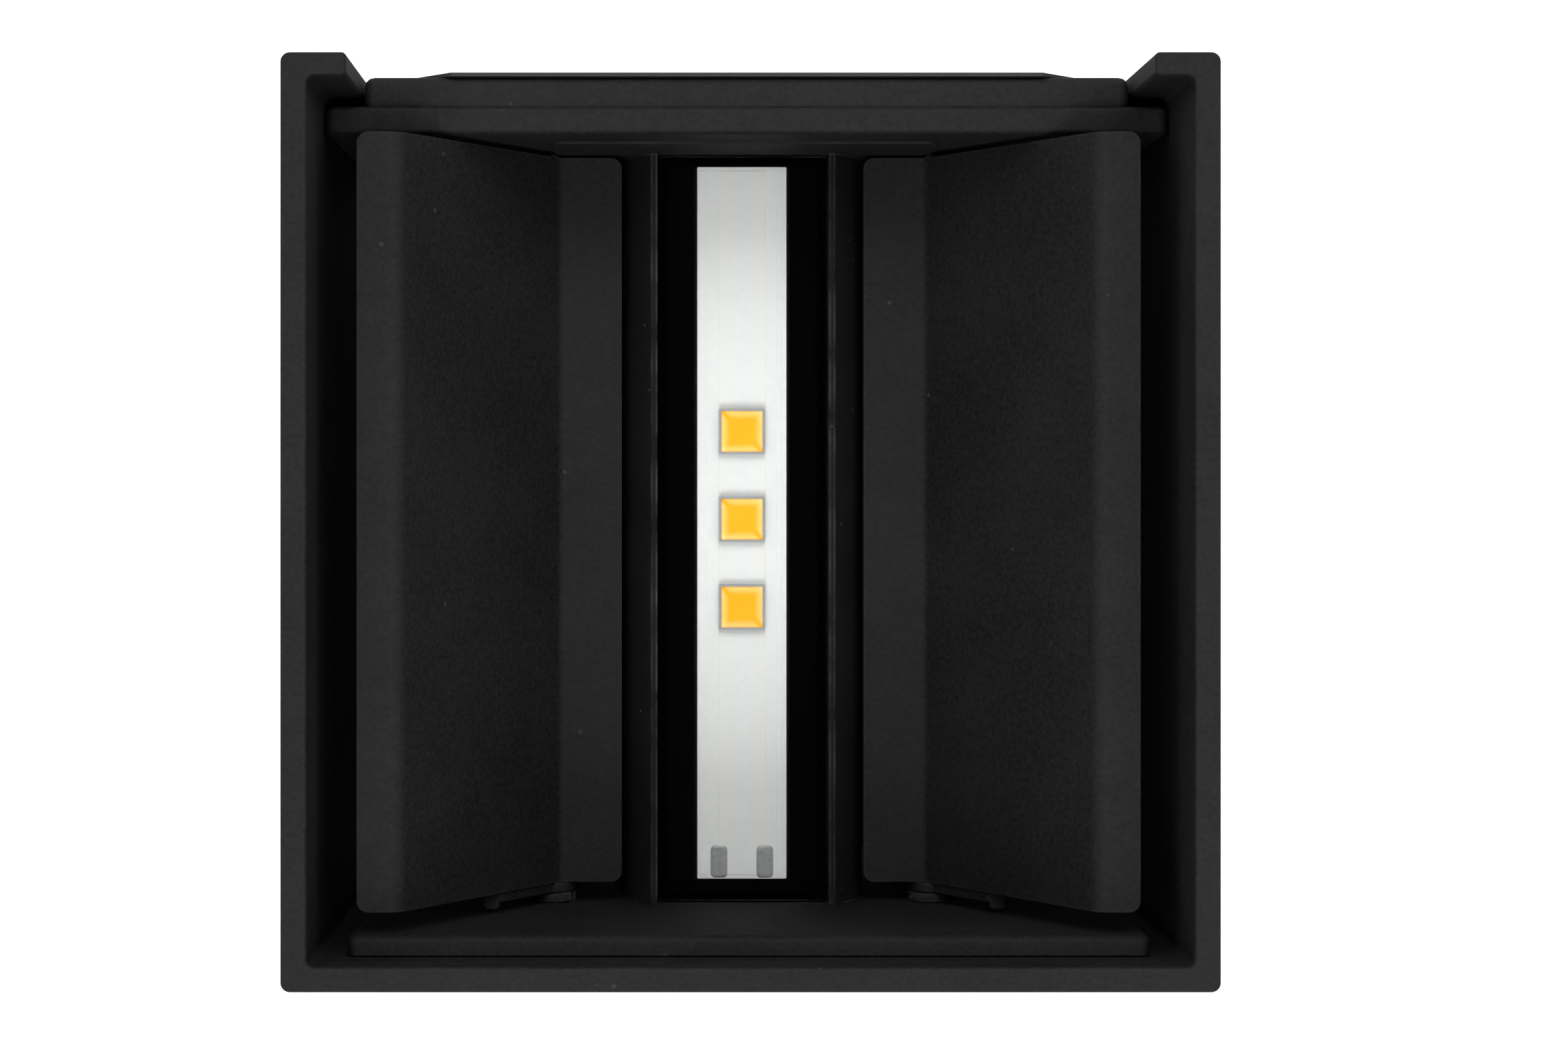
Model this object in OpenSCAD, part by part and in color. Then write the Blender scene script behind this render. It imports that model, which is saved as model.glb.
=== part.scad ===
// Up/down cube wall lamp with four adjustable beam flaps.
// Frame: the wall is the plane y = 0 and the lamp stands out towards -y, with z up.
// The origin is the centre of the wall face, and the lamp is the same above and below z = 0.

/* [Overall] */
// Width of the shell
lamp_w = 100; // [90:1:125]
// Depth of the lamp from the wall to its front
lamp_d = 100; // [90:1:125]
// Height of the shell
lamp_h = 100; // [92:1:125]

/* [Shell] */
// Thickness of the side walls
side_wall = 2.8; // [2:0.1:3.5]
// Thickness of the front wall
front_wall = 2.7; // [2:0.1:3.5]
// Thickness of the rear lips
lip_thick = 2.5; // [1.5:0.1:3]
// How far each rear lip reaches in from the side
lip_reach = 7; // [5:0.5:10]
// Radius of the outer upright edges
shell_edge_r = 1; // [0.5:0.1:2]

/* [Base casting] */
// Distance from the shell's rim down to the top of the base
base_drop = 14.8; // [12:0.1:18]
// Thickness of the wide flange inside the shell
flange_thick = 3.1; // [2.5:0.1:4]
// Thickness of the narrow step between the lips
step_thick = 3.3; // [3:0.1:4.5]
// Height of the raised land that the column stands on
land_thick = 0.3; // [0.2:0.1:0.6]
// Width of the raised land
land_w = 44; // [34:1:60]
// Distance from the base's top down to the raised land
land_drop = 6.8; // [4:0.1:9]
// Thickness of the metal left in front of the bracket pocket
pocket_skin = 2; // [1.5:0.1:2.5]
// Width of the rim round the bracket pocket, top and bottom
pocket_rim = 5; // [4:0.5:7]
// Width of the bracket pocket
pocket_w = 69; // [60:1:74]

/* [Gasket] */
// Thickness of the wall gasket
gasket_thick = 0.45; // [0.3:0.05:0.8]
// Width of the wall gasket
gasket_w = 76; // [74:1:80]
// Size of its cut corners
gasket_chamfer = 5; // [2:0.5:6]

/* [Wall bracket] */
// Thickness of the steel sheet
bracket_sheet = 1.5; // [1:0.1:1.6]
// Width of the bracket
bracket_w = 66; // [56:1:67]
// Height of the bracket
bracket_h = 54; // [44:1:55]
// Distance between the two slotted wall holes
wall_hole_spacing = 48; // [40:1:50]
// Width of each slot
wall_slot_w = 4.5; // [4:0.1:5.5]
// Length of each slot, end to end
wall_slot_l = 11; // [8:0.5:13]
// Diameter of the cable opening in the bracket
bracket_hole_d = 22; // [18:1:26]
// Distance between the two hooks, and between the two locking screws
hook_spacing = 40; // [30:1:50]
// Width of each hook
hook_w = 8; // [6:0.5:10]
// How far each hook reaches above its flange
hook_rise = 3; // [2.5:0.1:3.5]

/* [Front plate] */
// Thickness of the front plate
plate_thick = 2.2; // [1.8:0.1:3]
// Gap between the front plate and the shell's wall, each side
plate_side_gap = 3.5; // [2:0.1:8]
// Distance from the shell's rim down to the plate's top
plate_drop = 6.5; // [5:0.1:9]

/* [Light column] */
// Radius of the column's rounded shoulders
column_r = 14.5; // [14:0.1:15]
// Height of the straight part between the shoulders
column_mid = 21; // [20:0.5:24]
// Width of the light channel
channel_w = 20; // [19:0.2:21]
// Width of the flat land on each side of the channel
channel_land = 0.7; // [0.4:0.1:1]
// Depth of the channel below its land
channel_depth = 7.3; // [7:0.1:8]
// Thickness of the floor under the channel
channel_floor = 2; // [1.5:0.1:3]
// Wall of the driver chamber
chamber_wall = 2.2; // [1.8:0.1:2.6]

/* [Light engine] */
// Thickness of the thermal pad under the board
thermal_thick = 0.3; // [0.2:0.1:0.5]
// Width of the LED board
board_w = 10.6; // [8:0.1:11]
// Thickness of the LED board
board_thick = 1.2; // [0.8:0.1:1.6]
// Gap from the channel's wall end to the board
board_rear_gap = 1; // [0.5:0.1:3]
// Gap from the channel's front end to the board
board_front_gap = 2.3; // [0.5:0.1:4]
// Number of LEDs on a board
led_count = 3; // [1:1:6]
// Side of the square LED package
led_size = 5.4; // [3:0.1:6]
// Height of the LED package
led_height = 0.9; // [0.6:0.1:1.2]
// Wall of the LED package round its phosphor
led_wall = 0.35; // [0.2:0.05:0.5]
// Distance between LED centres
led_pitch = 10.4; // [7:0.1:13]
// Width of a solder pad
solder_w = 2.05; // [1.5:0.05:2.5]
// Length of a solder pad
solder_l = 3.9; // [2:0.1:5]
// Distance between the two solder pads
solder_spacing = 5.4; // [4:0.1:6]
// Thickness of the window glass
glass_thick = 1.8; // [1.2:0.1:2]
// Thickness of the window seal
seal_thick = 0.6; // [0.4:0.1:1]
// Recess of the glass below the channel's land
glass_recess = 1.3; // [0.5:0.1:1.5]

/* [Driver] */
// Length of the LED driver
driver_l = 58; // [40:1:60]
// Width of the LED driver
driver_w = 22; // [16:0.5:23]
// Height of the LED driver
driver_h = 17; // [12:0.5:20]
// Length of the terminal block
terminal_l = 12; // [10:0.5:14]

/* [Beam flaps] */
// Sheet thickness of a flap
flap_thick = 2; // [1.6:0.1:2.4]
// Distance from the column's side to a flap's pivot
pivot_out = 7.8; // [7.5:0.1:8.5]
// Height of the pivot above the middle of the column's shoulder
pivot_rise = 5.7; // [5:0.1:6]
// Distance from the rim down to the outer flange's top
outer_drop = 7.6; // [7:0.1:9]
// Gap between the outer flange's tip and the shell's side wall
outer_tip_gap = 4.5; // [4:0.1:7]
// Width of the outer flange
outer_flange_w = 4.6; // [3:0.1:7]
// How far the inner flange's tip reaches in past the column's side
inner_tip_cover = 0.3; // [0:0.1:0.5]
// Gap between the flap's wall end and the base
flap_rear_gap = 0.35; // [0.2:0.05:1]
// Gap between the flap's front end and the front plate
flap_front_gap = 2.4; // [2:0.1:3]
// Outer radius of the pivot boss along the flap
boss_r = 2; // [1.9:0.1:2.4]

/* [Pivots] */
// Diameter of a pivot pin
pin_d = 2; // [1.6:0.1:2.2]
// Radial clearance of a pivot pin in the flap
pin_clearance = 0.05; // [0.02:0.01:0.1]
// How far a pin reaches into the flap
pin_reach = 6; // [4:0.5:10]
// Thickness of the hinge ear
ear_thick = 1.2; // [0.8:0.1:1.4]
// Outer radius of the hinge ear round the pin
ear_r = 2.6; // [2.2:0.1:3]
// Width of the ear's finger
finger_w = 1.9; // [1.5:0.1:3]
// Outer diameter of the friction ring
ring_d = 5.4; // [4.5:0.1:6]

/* [Screws] */
// Diameter of the machine screws
screw_d = 2.5; // [2:0.1:2.6]
// Diameter of their heads
head_d = 4.4; // [4:0.1:4.6]
// Depth that a screw enters the column
screw_reach = 10; // [6:1:14]
// Distance of the grub screws below the lamp's middle
grub_drop = 22; // [15:1:30]

/* [Hidden] */
$fn = 64;

// Colours
black_coat = [0.035, 0.035, 0.035];
deep_black = [0.008, 0.008, 0.008];
rubber = [0.03, 0.03, 0.03];
zinc = [0.62, 0.63, 0.64];
steel = [0.45, 0.45, 0.46];
board_white = [0.82, 0.82, 0.81];
package_grey = [0.55, 0.55, 0.54];
phosphor = [1, 0.74, 0.16];
solder = [0.57, 0.57, 0.57];
clear_glass = [0.85, 0.9, 0.92, 0.3];
case_white = [0.86, 0.86, 0.84];
pad_grey = [0.5, 0.55, 0.6];
copper_red = [0.6, 0.12, 0.08];

// Clearances
cut = 0.5;             // overshoot of a cut past a face
slide_gap = 0.15;      // base flange inside the shell, each side
lip_gap = 0.3;         // base step between the lips, each side
front_gap = 0.1;       // front plate behind the shell's front wall
fit_gap = 0.1;         // parts laid in the channel, each side
ring_gap = 0.05;       // friction ring against the ear
seat_gap = 0.3;        // loose seats
edge_r = 0.5;          // small rounded edges
outline_r = 1.2;       // rounded corners of the base and front plate
round_r = 0.8;         // rounded inner edges of the shell

// Planes along y
flange_rear = -(gasket_thick + step_thick);
flange_front = flange_rear - flange_thick;
channel_rear = flange_front - land_thick;
plate_front = -(lamp_d - front_wall - front_gap);
plate_rear = plate_front + plate_thick;
channel_len = channel_rear - plate_rear;
pocket_floor = flange_front + pocket_skin;
flap_rear = channel_rear - flap_rear_gap;
flap_front = plate_rear + flap_front_gap;
flap_len = flap_rear - flap_front;

// Sizes across the base
shell_in_w = lamp_w - 2 * side_wall;
flange_w = shell_in_w - 2 * slide_gap;
step_w = lamp_w - 2 * lip_reach - 2 * lip_gap;
base_h = lamp_h - 2 * base_drop;
plate_h = lamp_h - 2 * plate_drop;
plate_w = shell_in_w - 2 * plate_side_gap;
pocket_h = base_h - 2 * pocket_rim;
land_h = base_h - 2 * land_drop;
bracket_fold = pocket_floor + 0.25;    // front edge of the bracket's folded flanges
lock_y = (bracket_fold - bracket_sheet) / 2;
grub_y = flange_rear - flange_thick / 2;

// Light column section
shoulder_z = column_mid / 2;
land_x = channel_w / 2 + channel_land;
channel_top = shoulder_z + sqrt(pow(column_r, 2) - pow(land_x, 2));
channel_bottom = channel_top - channel_depth;
chamber_w = 2 * (column_r - chamber_wall);
chamber_h = 2 * (channel_bottom - channel_floor);
column_screw_x = (channel_w / 2 + sqrt(pow(column_r, 2) - pow(channel_bottom - shoulder_z, 2))) / 2;
column_screw_z = channel_bottom + 0.6;

// Light engine levels, measured up from the lamp's middle
board_z = channel_bottom + thermal_thick;
led_z = board_z + board_thick;
glass_z = channel_top - glass_recess - glass_thick;
seal_z = glass_z - seal_thick;
board_rear = channel_rear - board_rear_gap;
board_len = channel_len - board_rear_gap - board_front_gap;
board_front = board_rear - board_len;
led_mid_y = -lamp_d / 2;
solder_y = board_front + solder_l / 2 + edge_r / 4;
inlay_w = channel_w - 2 * fit_gap;
inlay_len = channel_len - 2 * fit_gap;
frame_wall = 1.2;
frame_base = 1.1;
frame_gap = 0.4;

// Flap section, drawn for the upper right flap
pivot_x = column_r + pivot_out;
pivot_z = shoulder_z + pivot_rise;
inner_tip_x = column_r - inner_tip_cover;
outer_tip_x = shell_in_w / 2 - outer_tip_gap;
half = flap_thick / 2;
inner_z = pivot_z + 0.8;
outer_z = lamp_h / 2 - outer_drop - half;
bend_in = [pivot_x - 0.4, inner_z];
bend_out = [outer_tip_x - outer_flange_w + half / 2, outer_z];
tip_in = [inner_tip_x + half, inner_z];
tip_out = [outer_tip_x - half, outer_z];
web_angle = atan2(bend_out[1] - bend_in[1], bend_out[0] - bend_in[0]);
ear_step = 0.3;        // the ear's arm lies this far below the flap's web
arm_len = 11;          // from the bend to the finger
arm_start = bend_in + ear_step * [sin(web_angle), -cos(web_angle)];
finger_x = arm_start[0] + arm_len * cos(web_angle) + finger_w / 3;
finger_top = arm_start[1] + arm_len * sin(web_angle) + half;
finger_drop = 5;
finger_extra = 0.8;    // the finger reaches this far past the ear

// ---------- shared shapes ----------

// Rectangle with round corners, centred
module rounded_rect(w, h, r) {
    square([w - 2 * r, h], center = true);
    square([w, h - 2 * r], center = true);
    for (x = [-1, 1], y = [-1, 1])
        translate([x * (w / 2 - r), y * (h / 2 - r)]) circle(r);
}

// Straight bar between two points, with round ends
module bar(a, b, t) {
    d = b - a;
    translate(a) rotate(atan2(d[1], d[0])) translate([0, -t / 2]) square([norm(d), t]);
    translate(a) circle(t / 2);
    translate(b) circle(t / 2);
}

// A section drawn in x and z, run along the depth from a rear plane towards the front
module along_depth(rear, len) {
    translate([0, rear, 0]) rotate([90, 0, 0]) linear_extrude(len) children();
}

// A round bar along the depth
module depth_rod(x, z, rear, len, d) {
    along_depth(rear, len) translate([x, z]) circle(d = d);
}

// Copies the upper right shape to one side (1 right, -1 left) and one level (1 up, -1 down)
module handed(side, level) {
    if (side > 0 && level > 0) children();
    else if (side > 0) mirror([0, 0, 1]) children();
    else if (level > 0) mirror([1, 0, 0]) children();
    else mirror([1, 0, 0]) mirror([0, 0, 1]) children();
}

// Copies the upper shape to one level
module level_of(level) {
    if (level > 0) children();
    else mirror([0, 0, 1]) children();
}

// The four pivots, or the four column screws
module four() {
    for (side = [-1, 1], level = [-1, 1]) handed(side, level) children();
}

// Machine screw whose head sits behind a plane and whose shank runs towards the front
module pan_screw(plane, len) {
    head_h = 1.6;
    socket = 1.3;
    difference() {
        union() {
            depth_rod(0, 0, plane, len, screw_d);
            depth_rod(0, 0, plane + head_h, head_h, head_d);
        }
        along_depth(plane + head_h + cut, socket + cut) circle(r = 1.1, $fn = 6);
    }
}

// ---------- shell ----------

module shell_section() {
    lip_x = lamp_w / 2 - lip_reach;
    difference() {
        translate([0, -lamp_d / 2]) rounded_rect(lamp_w, lamp_d, shell_edge_r);
        translate([0, -(lip_thick + lamp_d - front_wall) / 2])
            rounded_rect(shell_in_w, lamp_d - lip_thick - front_wall, round_r);
        translate([-lip_x - edge_r, -lip_thick - cut]) square([2 * (lip_x + edge_r), lip_thick + 2 * cut]);
    }
    for (x = [-1, 1])
        translate([x * (lip_x + lip_reach / 4), -lip_thick / 2]) rounded_rect(lip_reach / 2, lip_thick, edge_r);
}

module housing_shell() {
    color(black_coat) difference() {
        translate([0, 0, -lamp_h / 2]) linear_extrude(lamp_h) shell_section();
        for (side = [-1, 1])
            translate([side * lamp_w / 2, grub_y, -grub_drop]) rotate([0, 90, 0])
                cylinder(h = 3 * side_wall, d = screw_d, center = true);
    }
}

grub_bite = 0.9;

module shell_grub_screws() {
    recess = 0.3;
    socket = 1.5;
    len = side_wall + slide_gap + grub_bite - recess;
    color(steel) for (side = [-1, 1])
        translate([side * (lamp_w / 2 - recess), grub_y, -grub_drop]) rotate([0, -90 * side, 0])
            difference() {
                cylinder(h = len, d = screw_d);
                translate([0, 0, -cut]) cylinder(h = socket + cut, r = 0.75, $fn = 6);
            }
}

// ---------- base ----------

grommet_neck_d = 10;

module rear_casting() {
    hook_slot_w = hook_w + 1;
    color(black_coat) difference() {
        union() {
            along_depth(-gasket_thick, step_thick + edge_r) rounded_rect(step_w, base_h, outline_r);
            along_depth(flange_rear, flange_thick) rounded_rect(flange_w, base_h, outline_r);
            along_depth(flange_front + edge_r, land_thick + edge_r) rounded_rect(land_w, land_h, outline_r);
        }
        along_depth(0, -pocket_floor) rounded_rect(pocket_w, pocket_h, outline_r);
        for (x = [-1, 1]) {
            // slots that the bracket's hooks enter
            translate([x * hook_spacing / 2 - hook_slot_w / 2, pocket_floor, pocket_h / 2 - outline_r])
                cube([hook_slot_w, -pocket_floor - bracket_sheet - seat_gap, outline_r + hook_rise]);
            // locking screws from below, with their heads let in
            translate([x * hook_spacing / 2, lock_y, -base_h / 2 - cut]) {
                cylinder(h = pocket_rim + 2 * cut, d = screw_d + 0.2);
                cylinder(h = 2 + cut, d = head_d + 0.4);
            }
            // seats of the shell's grub screws
            translate([x * (flange_w / 2 - grub_bite), grub_y, -grub_drop]) rotate([0, 90 * x, 0])
                cylinder(h = 2, d = screw_d);
        }
        depth_rod(0, 0, 0, lamp_d, grommet_neck_d);
        four() depth_rod(column_screw_x, column_screw_z, 0, 20, screw_d + 0.2);
        four() depth_rod(pivot_x, pivot_z, 0, 20, pin_d);
    }
}

module wall_gasket() {
    w = gasket_w / 2;
    h = base_h / 2;
    c = gasket_chamfer;
    color(rubber) along_depth(0, gasket_thick) difference() {
        polygon([[-w + c, h], [w - c, h], [w, h - c], [w, -h + c], [w - c, -h], [-w + c, -h], [-w, -h + c], [-w, h - c]]);
        rounded_rect(pocket_w, pocket_h, outline_r);
    }
}

earth_d = 3;
earth_z = -(bracket_hole_d + bracket_h) / 4;

module wall_bracket() {
    fold = -bracket_fold;
    hook_base = bracket_h / 2 - bracket_sheet;
    hook_top = pocket_h / 2 + hook_rise - seat_gap;
    color(zinc) difference() {
        union() {
            along_depth(0, bracket_sheet) square([bracket_w, bracket_h], center = true);
            for (z = [-1, 1])
                translate([-bracket_w / 2, -fold, z * (bracket_h / 2 - bracket_sheet / 2) - bracket_sheet / 2])
                    cube([bracket_w, fold, bracket_sheet]);
            for (x = [-1, 1])
                translate([x * hook_spacing / 2 - hook_w / 2, -fold, hook_base])
                    cube([hook_w, bracket_sheet, hook_top - hook_base]);
        }
        depth_rod(0, 0, cut, bracket_sheet + 2 * cut, bracket_hole_d);
        depth_rod(0, earth_z, cut, bracket_sheet + 2 * cut, earth_d);
        for (x = [-1, 1]) {
            along_depth(cut, bracket_sheet + 2 * cut) translate([x * wall_hole_spacing / 2, 0]) {
                square([wall_slot_l - wall_slot_w, wall_slot_w], center = true);
                for (s = [-1, 1]) translate([s * (wall_slot_l - wall_slot_w) / 2, 0]) circle(d = wall_slot_w);
            }
            translate([x * hook_spacing / 2, lock_y, -bracket_h / 2 - cut])
                cylinder(h = bracket_sheet + 2 * cut, d = screw_d);
        }
    }
}

module base_locking_screws() {
    head_h = 1.6;
    shank = base_h / 2 - bracket_h / 2 + bracket_sheet + 1 - 2;
    color(steel) for (x = [-1, 1])
        translate([x * hook_spacing / 2, lock_y, -base_h / 2 + 2]) difference() {
            union() {
                cylinder(h = shank, d = screw_d);
                translate([0, 0, -head_h]) cylinder(h = head_h, d = head_d);
            }
            translate([0, 0, -head_h - cut]) cylinder(h = 1.2 + cut, r = 1.1, $fn = 6);
        }
}

// Earth screw on the bracket, with its washer, facing into the pocket
module earth_screw() {
    washer_d = 7;
    washer_thick = 0.6;
    head_h = 1.5;
    head_rear = -bracket_sheet - washer_thick;
    color(zinc) difference() {
        union() {
            depth_rod(0, earth_z, 0, bracket_sheet + washer_thick, earth_d);
            depth_rod(0, earth_z, -bracket_sheet, washer_thick, washer_d);
            depth_rod(0, earth_z, head_rear, head_h, 5.5);
        }
        translate([-3, head_rear - head_h - cut, earth_z - 0.3]) cube([6, 0.7 + cut, 0.6]);
    }
}

module cable_grommet() {
    cable_d = 6.5;
    collar = 1;
    collar_d = grommet_neck_d + 3;
    neck = pocket_floor - channel_rear;
    color(rubber) difference() {
        union() {
            depth_rod(0, 0, pocket_floor, neck, grommet_neck_d);
            depth_rod(0, 0, pocket_floor + collar, collar, collar_d);
            depth_rod(0, 0, channel_rear, collar, collar_d);
        }
        depth_rod(0, 0, 0, 20, cable_d);
    }
}

// ---------- driver and terminals ----------

terminal_rear = channel_rear - 3;
terminal_h = 9;
terminal_w = 18;
chamber_floor_z = -chamber_h / 2;

module terminal_block() {
    ways = 3;
    step = terminal_w / ways;
    color(case_white) difference() {
        translate([-terminal_w / 2, terminal_rear - terminal_l, chamber_floor_z])
            cube([terminal_w, terminal_l, terminal_h]);
        for (i = [0 : ways - 1]) {
            x = (i - (ways - 1) / 2) * step;
            depth_rod(x, chamber_floor_z + 3.2, terminal_rear + cut, terminal_l + 2 * cut, 2.6);
            for (s = [-1, 1])
                translate([x, terminal_rear - terminal_l / 2 + s * 3, chamber_floor_z + terminal_h - 3])
                    cylinder(h = 4, d = 3);
        }
    }
}

module terminal_screws() {
    ways = 3;
    step = terminal_w / ways;
    color(zinc) for (i = [0 : ways - 1], s = [-1, 1])
        translate([(i - (ways - 1) / 2) * step, terminal_rear - terminal_l / 2 + s * 3,
                   chamber_floor_z + terminal_h - 3])
            difference() {
                cylinder(h = 2, d = 2.9);
                translate([-2, -0.25, 1.3]) cube([4, 0.5, 1]);
            }
}

driver_rear = terminal_rear - terminal_l - 3;
driver_mid_z = chamber_floor_z + driver_h / 2;

// Short leads between the terminal block and the driver
module supply_leads() {
    color(copper_red) for (x = [-1, 1])
        depth_rod(x * terminal_w / 3, chamber_floor_z + 3.2, driver_rear + 3, 3, 1.8);
}

module led_driver() {
    color(case_white)
        along_depth(driver_rear, driver_l) translate([0, driver_mid_z])
            rounded_rect(driver_w, driver_h, 1.5);
}

// ---------- light column and front plate ----------

module column_section() {
    difference() {
        intersection() {
            union() {
                for (z = [-1, 1]) translate([0, z * shoulder_z]) circle(column_r, $fn = 128);
                square([2 * column_r, column_mid], center = true);
            }
            square([3 * column_r, 2 * channel_top], center = true);
        }
        rounded_rect(chamber_w, chamber_h, outline_r);
        for (z = [-1, 1])
            translate([0, z * (channel_bottom + channel_depth / 2 + cut / 2)])
                square([channel_w, channel_depth + cut], center = true);
    }
}

lead_d = 1.1;

module light_column() {
    color(black_coat) difference() {
        along_depth(channel_rear, channel_len) column_section();
        four() {
            depth_rod(column_screw_x, column_screw_z, channel_rear + cut, screw_reach + cut, screw_d);
            depth_rod(column_screw_x, column_screw_z, plate_rear + screw_reach, screw_reach + cut, screw_d);
        }
        for (x = [-1, 1])
            translate([x * solder_spacing / 2, solder_y, -2 * channel_top]) cylinder(h = 4 * channel_top, d = lead_d + 1);
    }
}

module column_rear_screws() {
    color(steel) four() translate([column_screw_x, 0, column_screw_z])
        pan_screw(pocket_floor, pocket_floor - channel_rear + screw_reach - 1);
}

// Countersunk head flush with the front plate, widening towards the front
module front_countersink(x, z, wide, narrow) {
    translate([x, plate_front, z]) rotate([-90, 0, 0])
        cylinder(h = (wide - narrow) / 2, d1 = wide, d2 = narrow);
}

module front_plate() {
    color(black_coat) difference() {
        along_depth(plate_rear, plate_thick) rounded_rect(plate_w, plate_h, outline_r);
        four() {
            depth_rod(column_screw_x, column_screw_z, plate_rear + cut, plate_thick + 2 * cut, screw_d);
            front_countersink(column_screw_x, column_screw_z, head_d, screw_d);
            depth_rod(pivot_x, pivot_z, plate_rear + cut, plate_thick + 2 * cut, pin_d);
            front_countersink(pivot_x, pivot_z, pin_d + 1.6, pin_d);
        }
    }
}

module front_plate_screws() {
    color(steel) four() difference() {
        union() {
            depth_rod(column_screw_x, column_screw_z, plate_rear + screw_reach - 1,
                      plate_thick + screw_reach - 1, screw_d);
            front_countersink(column_screw_x, column_screw_z, head_d, screw_d);
        }
        translate([column_screw_x, 0, column_screw_z]) along_depth(plate_front + 1, 1 + cut) circle(r = 0.9, $fn = 6);
    }
}

// ---------- light engine, drawn for the upper channel ----------

module light_frame(level) {
    mid_y = (channel_rear + plate_rear) / 2;
    color(deep_black) level_of(level) difference() {
        translate([0, mid_y, channel_bottom]) linear_extrude(seal_z - channel_bottom)
            rounded_rect(inlay_w, inlay_len, edge_r);
        translate([0, mid_y, channel_bottom + frame_base]) linear_extrude(channel_depth)
            rounded_rect(inlay_w - 2 * frame_wall, inlay_len - 2 * frame_wall, edge_r);
        translate([-board_w / 2 - frame_gap, board_front - frame_gap, channel_bottom - cut])
            cube([board_w + 2 * frame_gap, board_len + 2 * frame_gap, channel_depth]);
    }
}

module thermal_pad(level) {
    margin = 0.6;
    color(pad_grey) level_of(level)
        translate([-board_w / 2 + margin, board_front + 2 * solder_l, channel_bottom])
            cube([board_w - 2 * margin, board_len - 2 * solder_l - margin, thermal_thick]);
}

module led_board(level) {
    color(board_white) level_of(level)
        translate([0, (board_rear + board_front) / 2, board_z]) linear_extrude(board_thick)
            rounded_rect(board_w, board_len, 0.2);
}

module each_led() {
    for (i = [0 : led_count - 1])
        translate([0, led_mid_y + (i - (led_count - 1) / 2) * led_pitch, led_z]) children();
}

module led_packages(level) {
    color(package_grey) level_of(level) each_led() difference() {
        linear_extrude(led_height) rounded_rect(led_size, led_size, 0.2);
        translate([0, 0, led_height / 3]) linear_extrude(led_height)
            square(led_size - 2 * led_wall, center = true);
    }
}

module led_phosphors(level) {
    side = led_size - 2 * led_wall;
    color(phosphor) level_of(level) each_led()
        translate([-side / 2, -side / 2, led_height / 3]) cube([side, side, led_height * 2 / 3]);
}

module solder_pads(level) {
    color(solder) level_of(level) for (x = [-1, 1])
        translate([x * solder_spacing / 2, solder_y, led_z]) linear_extrude(0.12)
            rounded_rect(solder_w, solder_l, 0.4);
}

module window_seal(level) {
    color(deep_black) level_of(level)
        translate([0, (channel_rear + plate_rear) / 2, seal_z]) linear_extrude(seal_thick) difference() {
            rounded_rect(inlay_w, inlay_len, edge_r);
            rounded_rect(inlay_w - 2 * frame_wall, inlay_len - 2 * frame_wall, edge_r);
        }
}

module window_glass(level) {
    color(clear_glass) level_of(level)
        translate([0, (channel_rear + plate_rear) / 2, glass_z]) linear_extrude(glass_thick)
            rounded_rect(inlay_w, inlay_len, edge_r);
}

// Insulated leads from the driver's end, along and then up to the underside of the board
module led_leads(level) {
    driver_front = driver_rear - driver_l;
    start = level * driver_mid_z + lead_d;
    color(rubber) level_of(level) for (x = [-1, 1]) {
        depth_rod(x * solder_spacing / 2, start, driver_front, driver_front - solder_y, lead_d);
        translate([x * solder_spacing / 2, solder_y, start]) {
            sphere(d = lead_d);
            cylinder(h = board_z - start, d = lead_d);
        }
    }
}

// ---------- pivots ----------

module front_pivot_pins() {
    color(steel) four() {
        depth_rod(pivot_x, pivot_z, flap_front + pin_reach, pin_reach + flap_front_gap + plate_thick, pin_d);
        front_countersink(pivot_x, pivot_z, pin_d + 1.6, pin_d);
    }
}

module rear_pivot_pins() {
    head_h = 1;
    color(steel) four() {
        depth_rod(pivot_x, pivot_z, pocket_floor, pocket_floor - flap_rear + pin_reach, pin_d);
        depth_rod(pivot_x, pivot_z, pocket_floor + head_h, head_h, pin_d + 2);
    }
}

module friction_rings() {
    ring_thick = flap_front_gap - ear_thick - ring_gap;
    color(steel) four() along_depth(plate_rear + ring_thick, ring_thick) translate([pivot_x, pivot_z]) difference() {
        circle(d = ring_d);
        circle(d = pin_d + 2 * pin_clearance);
    }
}

// ---------- flaps and their ears, drawn for the upper right ----------

module flap_section() {
    bar(tip_in, bend_in, flap_thick);
    bar(bend_in, bend_out, flap_thick);
    bar(bend_out, tip_out, flap_thick);
    translate([pivot_x, pivot_z]) circle(boss_r);
}

module flap(side, level) {
    bore_d = pin_d + 2 * pin_clearance;
    depth = pin_reach + 0.3;
    color(black_coat) handed(side, level) difference() {
        along_depth(flap_rear, flap_len) flap_section();
        depth_rod(pivot_x, pivot_z, flap_rear + cut, depth + cut, bore_d);
        depth_rod(pivot_x, pivot_z, flap_front + depth, depth + cut, bore_d);
    }
}

module ear_section() {
    difference() {
        union() {
            translate([pivot_x, pivot_z]) circle(ear_r);
            bar(arm_start, arm_start + arm_len * [cos(web_angle), sin(web_angle)], flap_thick);
            finger_section();
        }
        translate([pivot_x, pivot_z]) circle(d = pin_d + 2 * pin_clearance);
    }
}

module finger_section() {
    translate([finger_x, finger_top - finger_drop / 2]) rounded_rect(finger_w, finger_drop, edge_r);
}

module hinge_ear(side, level) {
    color(black_coat) handed(side, level) {
        along_depth(flap_front, ear_thick) ear_section();
        along_depth(flap_front, ear_thick + finger_extra) finger_section();
    }
}

// ---------- assembly ----------

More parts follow.
